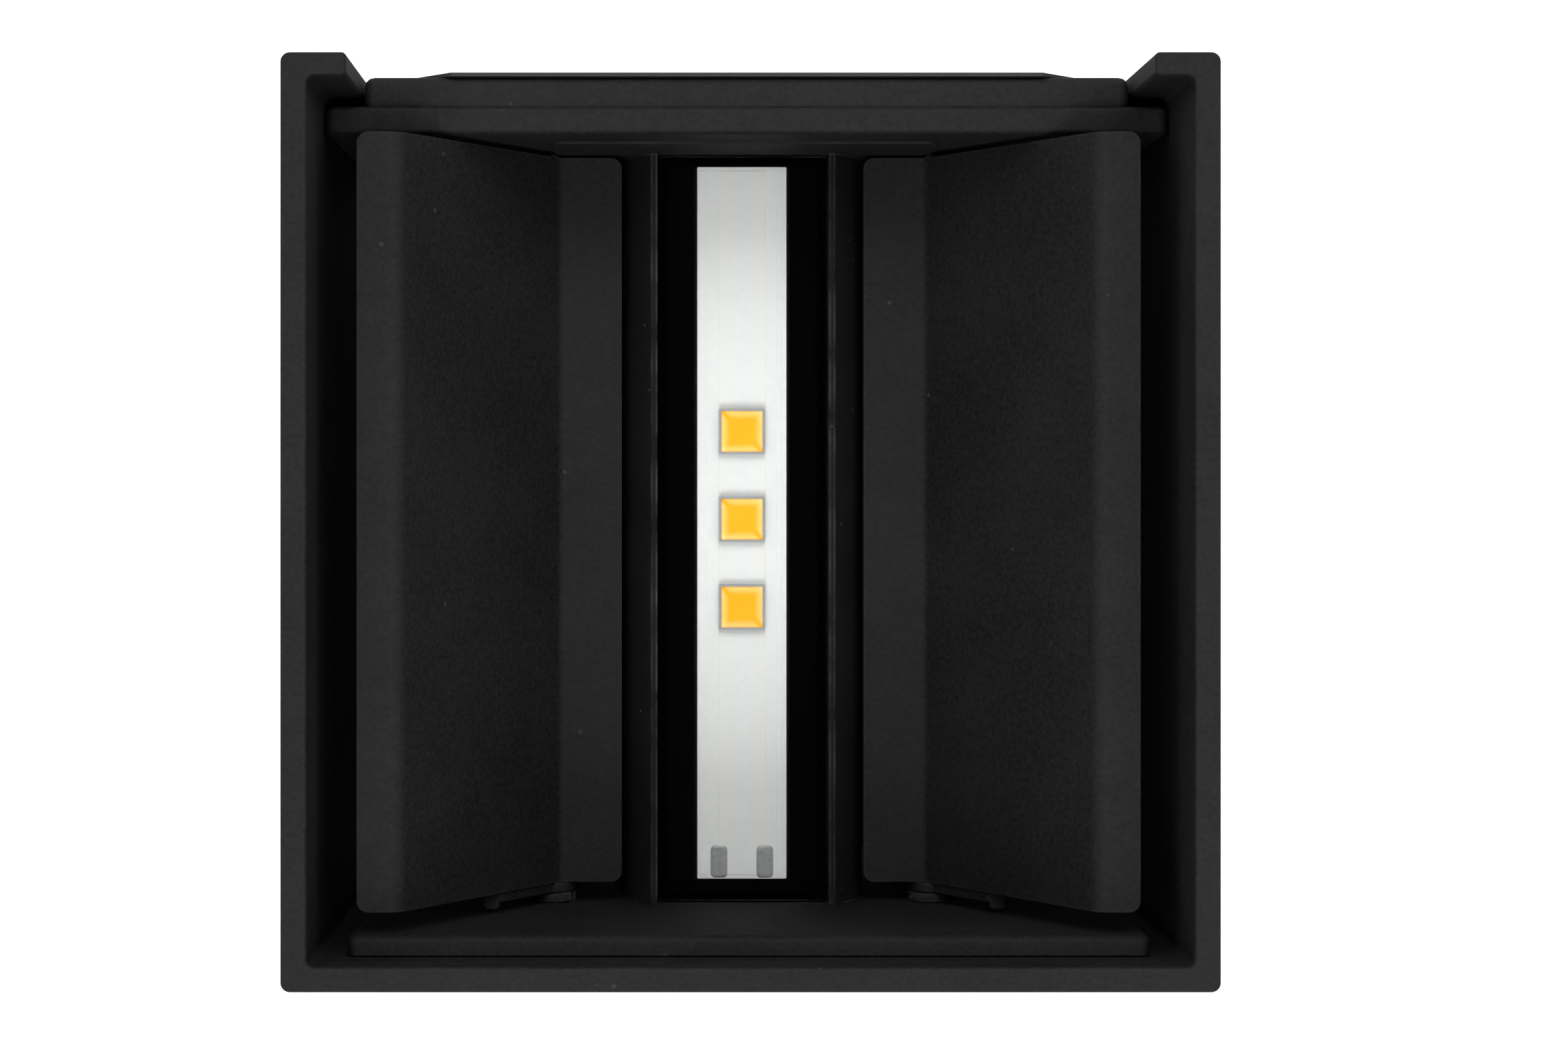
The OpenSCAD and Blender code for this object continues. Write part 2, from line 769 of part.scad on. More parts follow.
housing_shell();
shell_grub_screws();
rear_casting();
wall_gasket();
wall_bracket();
base_locking_screws();
earth_screw();
cable_grommet();
terminal_block();
terminal_screws();
supply_leads();
led_driver();
light_column();
column_rear_screws();
front_plate();
front_plate_screws();
light_frame(1);  // light_frame_upper
light_frame(-1);  // light_frame_lower
thermal_pad(1);  // thermal_pad_upper
thermal_pad(-1);  // thermal_pad_lower
led_board(1);  // led_board_upper
led_board(-1);  // led_board_lower
led_packages(1);  // led_packages_upper
led_packages(-1);  // led_packages_lower
led_phosphors(1);  // led_phosphors_upper
led_phosphors(-1);  // led_phosphors_lower
solder_pads(1);  // solder_pads_upper
solder_pads(-1);  // solder_pads_lower
window_seal(1);  // window_seal_upper
window_seal(-1);  // window_seal_lower
window_glass(1);  // window_glass_upper
window_glass(-1);  // window_glass_lower
led_leads(1);  // led_leads_upper
led_leads(-1);  // led_leads_lower
front_pivot_pins();
rear_pivot_pins();
friction_rings();
flap(-1, 1);  // flap_upper_left
flap(1, 1);  // flap_upper_right
flap(-1, -1);  // flap_lower_left
flap(1, -1);  // flap_lower_right
hinge_ear(-1, 1);  // hinge_ear_upper_left
hinge_ear(1, 1);  // hinge_ear_upper_right
hinge_ear(-1, -1);  // hinge_ear_lower_left
hinge_ear(1, -1);  // hinge_ear_lower_right
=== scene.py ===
import logging
import math
from dataclasses import dataclass, field
from enum import Enum
from typing import Any, Iterable, Optional, Sequence

import bmesh
import bpy
from mathutils import Matrix, Vector


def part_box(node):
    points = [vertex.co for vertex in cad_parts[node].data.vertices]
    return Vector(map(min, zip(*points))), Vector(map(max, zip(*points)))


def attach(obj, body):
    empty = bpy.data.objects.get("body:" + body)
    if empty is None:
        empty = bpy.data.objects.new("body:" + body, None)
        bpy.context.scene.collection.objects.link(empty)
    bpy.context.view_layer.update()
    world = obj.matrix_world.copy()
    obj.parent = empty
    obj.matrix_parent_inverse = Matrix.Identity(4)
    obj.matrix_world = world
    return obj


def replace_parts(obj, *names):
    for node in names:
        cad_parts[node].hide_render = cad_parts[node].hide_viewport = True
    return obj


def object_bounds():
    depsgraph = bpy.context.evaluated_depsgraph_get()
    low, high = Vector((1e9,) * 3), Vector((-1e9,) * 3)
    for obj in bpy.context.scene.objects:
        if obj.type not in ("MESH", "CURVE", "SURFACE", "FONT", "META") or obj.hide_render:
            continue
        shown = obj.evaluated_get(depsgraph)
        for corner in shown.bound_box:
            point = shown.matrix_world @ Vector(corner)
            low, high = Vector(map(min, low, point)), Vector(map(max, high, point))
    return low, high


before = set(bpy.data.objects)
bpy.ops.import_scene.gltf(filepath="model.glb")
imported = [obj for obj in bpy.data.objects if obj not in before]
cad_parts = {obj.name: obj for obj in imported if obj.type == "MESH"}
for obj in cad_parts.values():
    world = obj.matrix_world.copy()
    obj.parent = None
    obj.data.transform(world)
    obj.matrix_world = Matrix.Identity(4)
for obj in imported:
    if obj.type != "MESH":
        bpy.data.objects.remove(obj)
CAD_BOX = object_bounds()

MM = 0.001
MERGE = 1e-6
SHARP_DEGREES = 35.0
BEVEL_DEGREES = 40.0
SMALL_ROUND = 32
BORE_GAP = 0.05 * MM
UP = (0, 0, 1)
SOCKETS = {bool: "Bool", int: "Int", float: "Float"}
LOG = logging.getLogger("wall_lamp")

Point = tuple[float, float]
Loop = list[Point]
Colour = tuple[float, float, float, float]
Piece = bpy.types.Object


class Side(Enum):
    """The lamp's right (+x) or left (-x) half."""

    RIGHT = 1
    LEFT = -1


class Level(Enum):
    """The light opening at the top or at the bottom of the lamp."""

    UPPER = 1
    LOWER = -1


class Along(Enum):
    """The direction in which a flat outline is given its thickness."""

    DEPTH = "y"
    HEIGHT = "z"


class Slot(Enum):
    """The material slots that the finishes name."""

    COAT = "black_powder_coat"
    BLACK_STEEL = "black_steel"
    ZINC = "zinc_steel"
    RUBBER = "black_rubber"
    WHITE_MOULDING = "white_moulding"
    LEAD = "lead_insulation"
    BLACK_MOULDING = "black_moulding"
    THERMAL = "thermal_pad"
    BOARD = "board_white"
    PACKAGE = "led_package"
    PHOSPHOR = "led_phosphor"
    SOLDER = "solder"
    GLASS = "clear_glass"


# ---------- outlines ----------


def fillet(corners: Sequence[Point], radii: Sequence[float], steps: int = 6) -> Loop:
    """Rounds the corners of a closed outline.

    Args:
        corners: the outline's sharp corners, in order.
        radii: one radius for each corner, 0 for a sharp one.
        steps: segments in each rounded corner.

    Returns:
        The points of the rounded outline.
    """
    loop: Loop = []
    for i, radius in enumerate(radii):
        here = Vector(corners[i])
        if radius <= 0:
            loop.append(tuple(here))
            continue
        before = (Vector(corners[i - 1]) - here).normalized()
        after = (Vector(corners[(i + 1) % len(corners)]) - here).normalized()
        half = before.angle(after) / 2
        reach = radius / math.tan(half)
        centre = here + (before + after).normalized() * (radius / math.sin(half))
        start = here + before * reach - centre
        turn = start.angle_signed(here + after * reach - centre)
        for k in range(steps + 1):
            angle = -turn * k / steps
            c, s = math.cos(angle), math.sin(angle)
            loop.append((centre.x + start.x * c - start.y * s, centre.y + start.x * s + start.y * c))
    return loop


def rectangle(width: float, height: float, radius: float, centre: Point = (0.0, 0.0)) -> Loop:
    """Makes a rectangle with rounded corners.

    Args:
        width: its size along the first axis.
        height: its size along the second axis.
        radius: the radius of its corners.
        centre: its middle.

    Returns:
        The points of the outline.
    """
    w, h = width / 2, height / 2
    corners = [(-w, -h), (w, -h), (w, h), (-w, h)]
    return fillet([(x + centre[0], y + centre[1]) for x, y in corners], [radius] * 4)


def circle(radius: float, centre: Point = (0.0, 0.0), steps: int = 48) -> Loop:
    """Makes a round outline with a number of points."""
    turns = [2 * math.pi * k / steps for k in range(steps)]
    return [(centre[0] + radius * math.cos(a), centre[1] + radius * math.sin(a)) for a in turns]


def bar(a: Vector, b: Vector, thickness: float, steps: int = 10) -> Loop:
    """Makes a straight bar with round ends.

    Args:
        a: the middle of one end.
        b: the middle of the other end.
        thickness: the bar's thickness.
        steps: segments in each end.

    Returns:
        The points of the outline.
    """
    along = (b - a).normalized()
    across = Vector((-along.y, along.x))
    loop: Loop = []
    for end, reach in ((b, thickness / 2), (a, -thickness / 2)):
        for k in range(steps + 1):
            t = math.pi * k / steps
            loop.append(tuple(end + reach * (along * math.sin(t) - across * math.cos(t))))
    return loop


def inset_corners(lo: Vector, hi: Vector, rim: float) -> list[Point]:
    """Gives the four places in x and z that lie a rim inside a box's corners."""
    return [(x, z) for x in (lo.x + rim, hi.x - rim) for z in (lo.z + rim, hi.z - rim)]


# ---------- meshes ----------


def link(name: str, data: Any) -> Piece:
    """Puts new data into the scene as an object.

    Args:
        name: the object's name.
        data: its mesh, curve, light or camera.

    Returns:
        The object.
    """
    piece = bpy.data.objects.new(name, data)
    bpy.context.scene.collection.objects.link(piece)
    return piece


def settle(piece: Piece) -> Piece:
    """Turns an object with its modifiers into a plain, merged mesh at the origin.

    Args:
        piece: a mesh or curve object, which is removed.

    Returns:
        The plain mesh object, under the same name.
    """
    name = piece.name
    piece.name = "raw"
    bpy.context.view_layer.update()
    graph = bpy.context.evaluated_depsgraph_get()
    mesh = bpy.data.meshes.new_from_object(piece.evaluated_get(graph))
    mesh.transform(piece.matrix_world)
    bpy.data.objects.remove(piece)
    bm = bmesh.new()
    bm.from_mesh(mesh)
    bmesh.ops.remove_doubles(bm, verts=bm.verts, dist=MERGE)
    bmesh.ops.dissolve_degenerate(bm, dist=MERGE / 10, edges=bm.edges)
    bmesh.ops.recalc_face_normals(bm, faces=bm.faces)
    bm.to_mesh(mesh)
    bm.free()
    mesh.name = name
    return link(name, mesh)


def slab(name: str, loops: Sequence[Loop], start: float, end: float, along: Along, edge: float = 0.0) -> Piece:
    """Gives a flat outline its thickness, with rounded edges.

    Args:
        name: the piece's name.
        loops: the outline and its holes, in x and y for HEIGHT, or in x and z for DEPTH.
        start: where the slab starts along its axis.
        end: where it ends.
        along: the axis.
        edge: the radius of its edges.

    Returns:
        The slab as a plain mesh.
    """
    flat = bpy.data.curves.new(name, "CURVE")
    flat.dimensions, flat.fill_mode = "2D", "BOTH"
    for loop in loops:
        spline = flat.splines.new("POLY")
        spline.points.add(len(loop) - 1)
        for point, (u, v) in zip(spline.points, loop):
            point.co = (u, v, 0, 1)
        spline.use_cyclic_u = True
    flat.extrude = abs(end - start) / 2 - edge
    flat.bevel_depth, flat.offset, flat.bevel_resolution = edge, -edge, 2
    piece = settle(link(name, flat))
    middle = (start + end) / 2
    if along is Along.HEIGHT:
        place = Matrix.Translation((0, 0, middle))
    else:
        place = Matrix.Translation((0, middle, 0)) @ Matrix.Rotation(math.pi / 2, 4, "X")
    piece.data.transform(place)
    return piece


def softened(name: str, node: str, width: float, segments: int = 2) -> Piece:
    """Copies a CAD node and rounds its sharp edges.

    Args:
        name: the new piece's name.
        node: the CAD node.
        width: the width of the rounding.
        segments: its segments.

    Returns:
        The rounded copy, which replaces the node.
    """
    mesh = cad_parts[node].data.copy()
    mesh.materials.clear()
    bm = bmesh.new()
    bm.from_mesh(mesh)
    bmesh.ops.remove_doubles(bm, verts=bm.verts, dist=MERGE)
    bmesh.ops.dissolve_limit(bm, angle_limit=math.radians(0.5), verts=bm.verts, edges=bm.edges)
    limit = math.radians(SHARP_DEGREES)
    sharp = [e for e in bm.edges if len(e.link_faces) == 2 and e.calc_face_angle(0.0) > limit]
    bmesh.ops.bevel(bm, geom=sharp, offset=width, segments=segments, profile=0.5, affect="EDGES", clamp_overlap=False)
    bmesh.ops.remove_doubles(bm, verts=bm.verts, dist=MERGE)
    bmesh.ops.recalc_face_normals(bm, faces=bm.faces)
    bm.to_mesh(mesh)
    bm.free()
    mesh.name = name
    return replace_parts(link(name, mesh), node)


def combine(piece: Piece, tools: Iterable[Piece], operation: str) -> Piece:
    """Adds other shapes to a piece, or cuts them from it.

    Args:
        piece: the piece that is changed.
        tools: the other shapes, which are removed.
        operation: UNION or DIFFERENCE.

    Returns:
        The new piece as a plain mesh.
    """
    tools = list(tools)
    for tool in tools:
        step = piece.modifiers.new("combine", "BOOLEAN")
        step.operation, step.solver, step.object = operation, "EXACT", tool
    piece = settle(piece)
    for tool in tools:
        bpy.data.objects.remove(tool)
    return piece


def bevel(piece: Piece, width: float, segments: int = 2) -> Piece:
    """Adds a modifier that rounds a piece's sharp edges.

    Args:
        piece: the piece.
        width: the width of the rounding.
        segments: its segments.

    Returns:
        The same piece.
    """
    step = piece.modifiers.new("edges", "BEVEL")
    step.width, step.segments, step.limit_method = width, segments, "ANGLE"
    step.angle_limit = math.radians(BEVEL_DEGREES)
    return piece


def handed(piece: Piece, side: Side, level: Level) -> Piece:
    """Moves an upper right shape to its own side and level.

    Args:
        piece: the shape, drawn for the upper right.
        side: the side that it goes to.
        level: the level that it goes to.

    Returns:
        The same piece, with its faces pointing outwards.
    """
    piece.data.transform(Matrix.Diagonal((side.value, 1, level.value, 1)))
    if side.value * level.value < 0:
        piece.data.flip_normals()
    return piece


def shaded(piece: Piece, degrees: float = SHARP_DEGREES) -> Piece:
    """Shades rounded faces smooth and flat faces flat.

    Args:
        piece: the piece.
        degrees: the angle above which an edge stays sharp.

    Returns:
        The same piece.
    """
    piece.data.shade_smooth()
    piece.data.set_sharp_from_angle(angle=math.radians(degrees))
    piece.modifiers.new("normals", "WEIGHTED_NORMAL").keep_sharp = True
    return piece


# ---------- node trees ----------


@dataclass(frozen=True)
class Wire:
    """A node's output, with which node trees are written as sums."""

    tree: "Tree"
    socket: Any

    def __add__(self, other: Any) -> "Wire":
        """Adds a value."""
        return reckon("ADD", self, other)

    def __sub__(self, other: Any) -> "Wire":
        """Takes a value off."""
        return reckon("SUBTRACT", self, other)

    def __rsub__(self, other: Any) -> "Wire":
        """Is taken off a value."""
        return reckon("SUBTRACT", other, self)

    def __mul__(self, other: Any) -> "Wire":
        """Multiplies by a value."""
        return reckon("MULTIPLY", self, other)

    def __truediv__(self, other: Any) -> "Wire":
        """Divides by a value."""
        return reckon("DIVIDE", self, other)

    def __rtruediv__(self, other: Any) -> "Wire":
        """Divides a value."""
        return reckon("DIVIDE", other, self)

    def __abs__(self) -> "Wire":
        """Drops the sign."""
        return reckon("ABSOLUTE", self)

    def __gt__(self, other: Any) -> "Wire":
        """Gives 1 where it is more than a value."""
        return reckon("GREATER_THAN", self, other)

    def __lt__(self, other: Any) -> "Wire":
        """Gives 1 where it is less than a value."""
        return reckon("LESS_THAN", self, other)


def reckon(operation: str, *values: Any, kind: str = "Math", output: Any = 0) -> Wire:
    """Adds a Math or VectorMath node, of which at least one input is a wire."""
    tree = next(value.tree for value in values if isinstance(value, Wire))
    return tree.out("ShaderNode" + kind, dict(enumerate(values)), output, operation=operation)


class Tree:
    """A node tree. A group also has its inputs by name and its output node."""

    def __init__(self, data: Any) -> None:
        """Keeps the tree's data."""
        self.data, self.result = data, None
        self.get: dict[str, Wire] = {}

    @classmethod
    def group(cls, name: str, kind: str, inputs: dict[str, Any], outputs: dict[str, str]) -> "Tree":
        """Starts a node group with named sockets.

        Args:
            name: the group's name.
            kind: ShaderNodeTree or GeometryNodeTree.
            inputs: each input's value, or its type where it has no value.
            outputs: each output's type.

        Returns:
            The tree.
        """
        tree = cls(bpy.data.node_groups.new(name, kind))
        sockets = tree.data.interface
        for label, value in inputs.items():
            bare = isinstance(value, str)
            socket = "NodeSocket" + (value if bare else SOCKETS[type(value)])
            made = sockets.new_socket(name=label, in_out="INPUT", socket_type=socket)
            if not bare:
                made.default_value = value
        for label, socket in outputs.items():
            sockets.new_socket(name=label, in_out="OUTPUT", socket_type="NodeSocket" + socket)
        tree.get = {socket.name: Wire(tree, socket) for socket in tree.put("NodeGroupInput").outputs if socket.name}
        tree.result = tree.put("NodeGroupOutput")
        return tree

    def feed(self, node: Any, feeds: dict[Any, Any]) -> None:
        """Wires or sets a node's inputs.

        Args:
            node: the node.
            feeds: for each input's name or number, a wire or a value.
        """
        for key, value in feeds.items():
            if isinstance(value, Wire):
                self.data.links.new(value.socket, node.inputs[key])
            else:
                node.inputs[key].default_value = value

    def put(self, kind: str, feeds: Optional[dict[Any, Any]] = None, **settings: Any) -> Any:
        """Adds a node.

        Args:
            kind: the node's type.
            feeds: what its inputs get, by name or number.
            settings: the node's own settings.

        Returns:
            The node.
        """
        node = self.data.nodes.new(kind)
        for name, value in settings.items():
            setattr(node, name, value)
        self.feed(node, feeds or {})
        return node

    def out(self, kind: str, feeds: Optional[dict[Any, Any]] = None, output: Any = 0, **settings: Any) -> Wire:
        """Adds a node and gives one of its outputs."""
        return Wire(self, self.put(kind, feeds, **settings).outputs[output])

    def geo(self, kind: str, feeds: Optional[dict[Any, Any]] = None, **settings: Any) -> Wire:
        """Adds a geometry node, named without its prefix, and gives one of its outputs."""
        return self.out("GeometryNode" + kind, feeds, **settings)

    def xyz(self, **axes: Any) -> Wire:
        """Joins X, Y and Z into a vector."""
        return self.out("ShaderNodeCombineXYZ", axes)

    def split(self, vector: Wire) -> list[Wire]:
        """Splits a vector into x, y and z."""
        return [Wire(self, part) for part in self.put("ShaderNodeSeparateXYZ", {0: vector}).outputs]

    def scaled(self, vector: Wire, factor: Wire) -> Wire:
        """Scales a vector by a wire."""
        return self.out("ShaderNodeVectorMath", {0: vector, "Scale": factor}, operation="SCALE")

    def ramp(self, value: Wire, start: Any, end: Any, low: float = 0.0, high: float = 1.0,
             smooth: bool = False) -> Wire:
        """Maps a value from one range to another.

        Args:
            value: the value.
            start: where the first range starts.
            end: where it ends.
            low: the result at its start.
            high: the result at its end.
            smooth: whether the result eases in and out.

        Returns:
            The result.
        """
        feeds = {"Value": value, "From Min": start, "From Max": end, "To Min": low, "To Max": high}
        return self.out("ShaderNodeMapRange", feeds, interpolation_type="SMOOTHSTEP" if smooth else "LINEAR")

    def noise(self, place: Wire, scale: Any, detail: float = 2.0, roughness: float = 0.5) -> Wire:
        """Adds a soft noise."""
        feeds = {"Vector": place, "Scale": scale, "Detail": detail, "Roughness": roughness}
        return self.out("ShaderNodeTexNoise", feeds)

    def blend(self, share: Wire, first: Any, second: Any) -> Wire:
        """Mixes two colours by the share of the second."""
        return self.out("ShaderNodeMix", {0: share, 6: first, 7: second}, 2, data_type="RGBA", clamp_factor=True)

    def moved(self, shape: Wire, offset: Wire) -> Wire:
        """Moves a whole shape."""
        return self.geo("Transform", {"Geometry": shape, "Translation": offset})

    def boolean(self, operation: str, *shapes: Wire) -> Wire:
        """Adds shapes to each other, or cuts the later ones from the first.

        Args:
            operation: UNION or DIFFERENCE.
            shapes: the shapes.

        Returns:
            The result.
        """
        node = self.put("GeometryNodeMeshBoolean", operation=operation, solver="EXACT")
        for i, shape in enumerate(shapes):
            self.feed(node, {0 if operation == "DIFFERENCE" and i == 0 else 1: shape})
        return Wire(self, node.outputs[0])

    def closed(self, sides: Wire, foot: Wire) -> Wire:
        """Closes an extruded face with the face that it grew from.

        Args:
            sides: the extruded shape.
            foot: the face, which points into it.

        Returns:
            The closed shape.
        """
        both = self.put("GeometryNodeJoinGeometry")
        for shape in (sides, self.geo("FlipFaces", {0: foot})):
            self.feed(both, {0: shape})
        return self.geo("MergeByDistance", {"Geometry": Wire(self, both.outputs[0]), "Distance": MERGE})

    def store(self, shape: Wire, name: str, value: Wire) -> Wire:
        """Stores a value on a shape's points.

        Args:
            shape: the shape.
            name: the attribute's name.
            value: the value.

        Returns:
            The shape with the attribute.
        """
        node = self.put("GeometryNodeStoreNamedAttribute", {"Geometry": shape, "Name": name}, data_type="FLOAT",
                        domain="POINT")
        self.data.links.new(value.socket, next(s for s in node.inputs if s.name == "Value" and s.enabled))
        return Wire(self, node.outputs[0])


# ---------- shared surface effects ----------


class Effects:
    """The shader node groups that the finishes share."""

    def __init__(self) -> None:
        """Builds every group once."""
        self.grain = self.make_grain()
        self.wear = self.make_wear_and_edge_highlight()
        self.dust = self.make_dust_and_top_light()

    @staticmethod
    def make_grain() -> Any:
        """Builds the fine pebbled grain of a sprayed or moulded surface.

        Returns:
            The group, which puts out a height, a soft tone and sparse specks.
        """
        tree = Tree.group("surface_grain", "ShaderNodeTree",
                          {"Vector": "Vector", "Size": 0.3 * MM, "Speck Share": 0.02},
                          {"Height": "Float", "Tone": "Float", "Speck": "Float"})
        place, scale = tree.get["Vector"], 1.0 / tree.get["Size"]
        coarse = tree.noise(place, scale, 2.0, 0.6)
        pebble = tree.out("ShaderNodeTexVoronoi", {"Vector": place, "Scale": scale * 3.1}, feature="SMOOTH_F1")
        broad = tree.noise(place, scale * 0.035, 3.0)
        cells = tree.put("ShaderNodeTexVoronoi", {"Vector": place, "Scale": scale * 0.55})
        distance, colour = (Wire(tree, cells.outputs[name]) for name in ("Distance", "Color"))
        chosen = tree.out("ShaderNodeSeparateColor", {0: colour}) < tree.get["Speck Share"]
        tone = tree.ramp(coarse * 0.65 + broad * 0.35, 0.36, 0.64)
        tree.feed(tree.result, {"Height": coarse - pebble * 0.35, "Tone": tone, "Speck": chosen * (distance < 0.28)})
        return tree.data

    @staticmethod
    def make_wear_and_edge_highlight() -> Any:
        """Builds the mask of edges that are rubbed lighter, partly as wear and partly as a painted highlight.

        Returns:
            The group, which puts out a mask.
        """
        inputs = {"Vector": "Vector", "Radius": 0.5 * MM, "Amount": 0.5, "Patch Scale": 260.0}
        tree = Tree.group("edge_wear", "ShaderNodeTree", inputs, {"Mask": "Float"})
        rounded = tree.out("ShaderNodeBevel", {"Radius": tree.get["Radius"]}, samples=4)
        true = tree.out("ShaderNodeNewGeometry", output="Normal")
        match = reckon("DOT_PRODUCT", rounded, true, kind="VectorMath", output=1)
        broken = tree.ramp(tree.noise(tree.get["Vector"], tree.get["Patch Scale"], 4.0), 0.35, 0.7)
        # Lighter edges: partly rubbed wear, partly a painted highlight where rounded edges face the light.
        tree.feed(tree.result, {"Mask": tree.ramp(match, 0.995, 0.80) * broken * tree.get["Amount"]})
        return tree.data

    @staticmethod
    def make_dust_and_top_light() -> Any:
        """Builds the mask of dust and painted top light on faces that look up.

        Returns:
            The group, which puts out a mask.
        """
        tree = Tree.group("settled_dust", "ShaderNodeTree", {"Vector": "Vector", "Amount": 0.1, "Scale": 650.0},
                          {"Mask": "Float"})
        # Up-facing faces get lighter: partly settled dust, partly painted top light standing in for how light falls on
        # them.
        up = tree.split(tree.out("ShaderNodeNewGeometry", output="Normal"))[2]
        patchy = tree.ramp(tree.noise(tree.get["Vector"], tree.get["Scale"], 5.0, 0.65), -0.4, 1.1)
        tree.feed(tree.result, {"Mask": tree.ramp(up, 0.72, 0.98) * patchy * tree.get["Amount"]})
        return tree.data


# ---------- finishes ----------


def grey(level: float, blue: Optional[float] = None) -> Colour:
    """Makes an even grey, or one with its own share of blue."""
    return (level, level, level if blue is None else blue, 1)


@dataclass(frozen=True)
class Finish:
    """An opaque finish with grain, rubbed edges with a painted highlight, and a little dust with painted top light."""

    name: str
    slot: Slot
    base: Colour
    light: Colour
    roughness: float = 0.5
    metallic: float = 0.0
    specular: float = 0.4
    grain: float = 0.3 * MM
    bump: float = 0.25
    depth: float = 0.03 * MM
    specks: float = 0.0
    speck_colour: Colour = grey(0.1)
    # The edge colour and amount paint wear and an edge highlight; the dust colour and amount paint dust and light on
    # up-facing faces.
    wear_and_edge_highlight_colour: Colour = grey(0.05)
    wear: float = 0.0
    dust: float = 0.0
    dust_and_top_light_colour: Colour = (0.2, 0.198, 0.195, 1)
    unevenness: float = 0.06

    def build(self, effects: Effects) -> bpy.types.Material:
        """Makes the material.

        Args:
            effects: the shared node groups.

        Returns:
            The material.
        """
        material = bpy.data.materials.new(self.name)
        material.use_nodes = True
        tree = Tree(material.node_tree)
        place = tree.out("ShaderNodeTexCoord", output="Object")
        grain = tree.put("ShaderNodeGroup", node_tree=effects.grain)
        tree.feed(grain, {"Vector": place, "Size": self.grain, "Speck Share": self.specks})
        height, tone, speck = (Wire(tree, socket) for socket in grain.outputs)
        colour = self.base_colour(tree, tone, place)
        if self.specks:
            colour = tree.blend(speck, colour, self.speck_colour)
        # Blends in the lighter edges, partly wear and partly painted highlight, and the lighter up-facing faces, partly
        # dust and partly painted top light.
        for amount, data, other in ((self.wear, effects.wear, self.wear_and_edge_highlight_colour), (self.dust, effects.dust, self.dust_and_top_light_colour)):
            if amount:
                mask = tree.out("ShaderNodeGroup", {"Vector": place, "Amount": amount}, node_tree=data)
                colour = tree.blend(mask, colour, other)
        spread = tree.ramp(tone, 0.0, 1.0, self.roughness - self.unevenness, self.roughness + self.unevenness)
        relief = tree.out("ShaderNodeBump", {"Strength": self.bump, "Distance": self.depth, "Height": height})
        tree.feed(tree.data.nodes["Principled BSDF"],
                  {"Base Color": colour, "Roughness": spread, "Normal": relief, "Metallic": self.metallic,
                   "Specular IOR Level": self.specular})
        return material

    def base_colour(self, tree: Tree, tone: Wire, place: Wire) -> Wire:
        """Mixes the two tones of the surface by its grain."""
        return tree.blend(tone, self.base, self.light)


@dataclass(frozen=True)
class SolderMask(Finish):
    """The board's white lacquer, a little warm where copper lies under it."""

    warm: Colour = (0.63, 0.62, 0.585, 1)
    warm_from: float = 1.1 * MM
    warm_to: float = 3.0 * MM

    def base_colour(self, tree: Tree, tone: Wire, place: Wire) -> Wire:
        """Tints the lacquer in two soft bands beside the middle.

        Args:
            tree: the material's node tree.
            tone: the grain's tone.
            place: the object coordinates.

        Returns:
            The colour.
        """
        across = abs(tree.split(place)[0])
        inner = tree.ramp(across, self.warm_from * 0.7, self.warm_from, smooth=True)
        outer = tree.ramp(across, self.warm_to, self.warm_to * 1.15, 1.0, 0.0, smooth=True)
        drift = tree.noise(place, 60.0)
        return tree.blend(inner * outer * drift, tree.blend(tone, self.base, self.light), self.warm)


@dataclass(frozen=True)
class PhosphorGel(Finish):
    """The yellow phosphor, paler on its sloping border."""

    pale: Colour = (1.0, 0.62, 0.22, 1)

    def base_colour(self, tree: Tree, tone: Wire, place: Wire) -> Wire:
        """Pales the border by the mesh's own border attribute."""
        border = tree.out("ShaderNodeAttribute", output="Fac", attribute_name="border")
        return tree.blend(border, tree.blend(tone, self.base, self.light), self.pale)


@dataclass(frozen=True)
class ClearGlass:
    """The window's clear glass."""

    name: str = "window_clear"
    slot: Slot = Slot.GLASS
    ior: float = 1.16
    tints: tuple[Colour, Colour] = ((0.985, 0.992, 0.99, 1), (0.97, 0.98, 0.975, 1))
    shadow: Colour = (0.97, 0.985, 0.98, 1)

    def build(self, effects: Effects) -> bpy.types.Material:
        """Makes the material, through which the lamps' light passes.

        Args:
            effects: the shared node groups, of which glass needs none.

        Returns:
            The material.
        """
        material = bpy.data.materials.new(self.name)
        material.use_nodes = True
        tree = Tree(material.node_tree)
        shader, result = tree.data.nodes["Principled BSDF"], tree.data.nodes["Material Output"]
        film = tree.noise(tree.out("ShaderNodeTexCoord", output="Object"), 35.0, 4.0)
        tree.feed(shader, {"Base Color": tree.blend(film, *self.tints), "Roughness": 0.0, "IOR": self.ior,
                           "Transmission Weight": 1.0, "Specular IOR Level": 0.2})
        clear = tree.out("ShaderNodeBsdfTransparent", {"Color": self.shadow})
        ray = tree.out("ShaderNodeLightPath", output="Is Shadow Ray")
        mix = tree.out("ShaderNodeMixShader", {0: ray, 1: Wire(tree, shader.outputs[0]), 2: clear})
        tree.feed(result, {"Surface": mix})
        return material


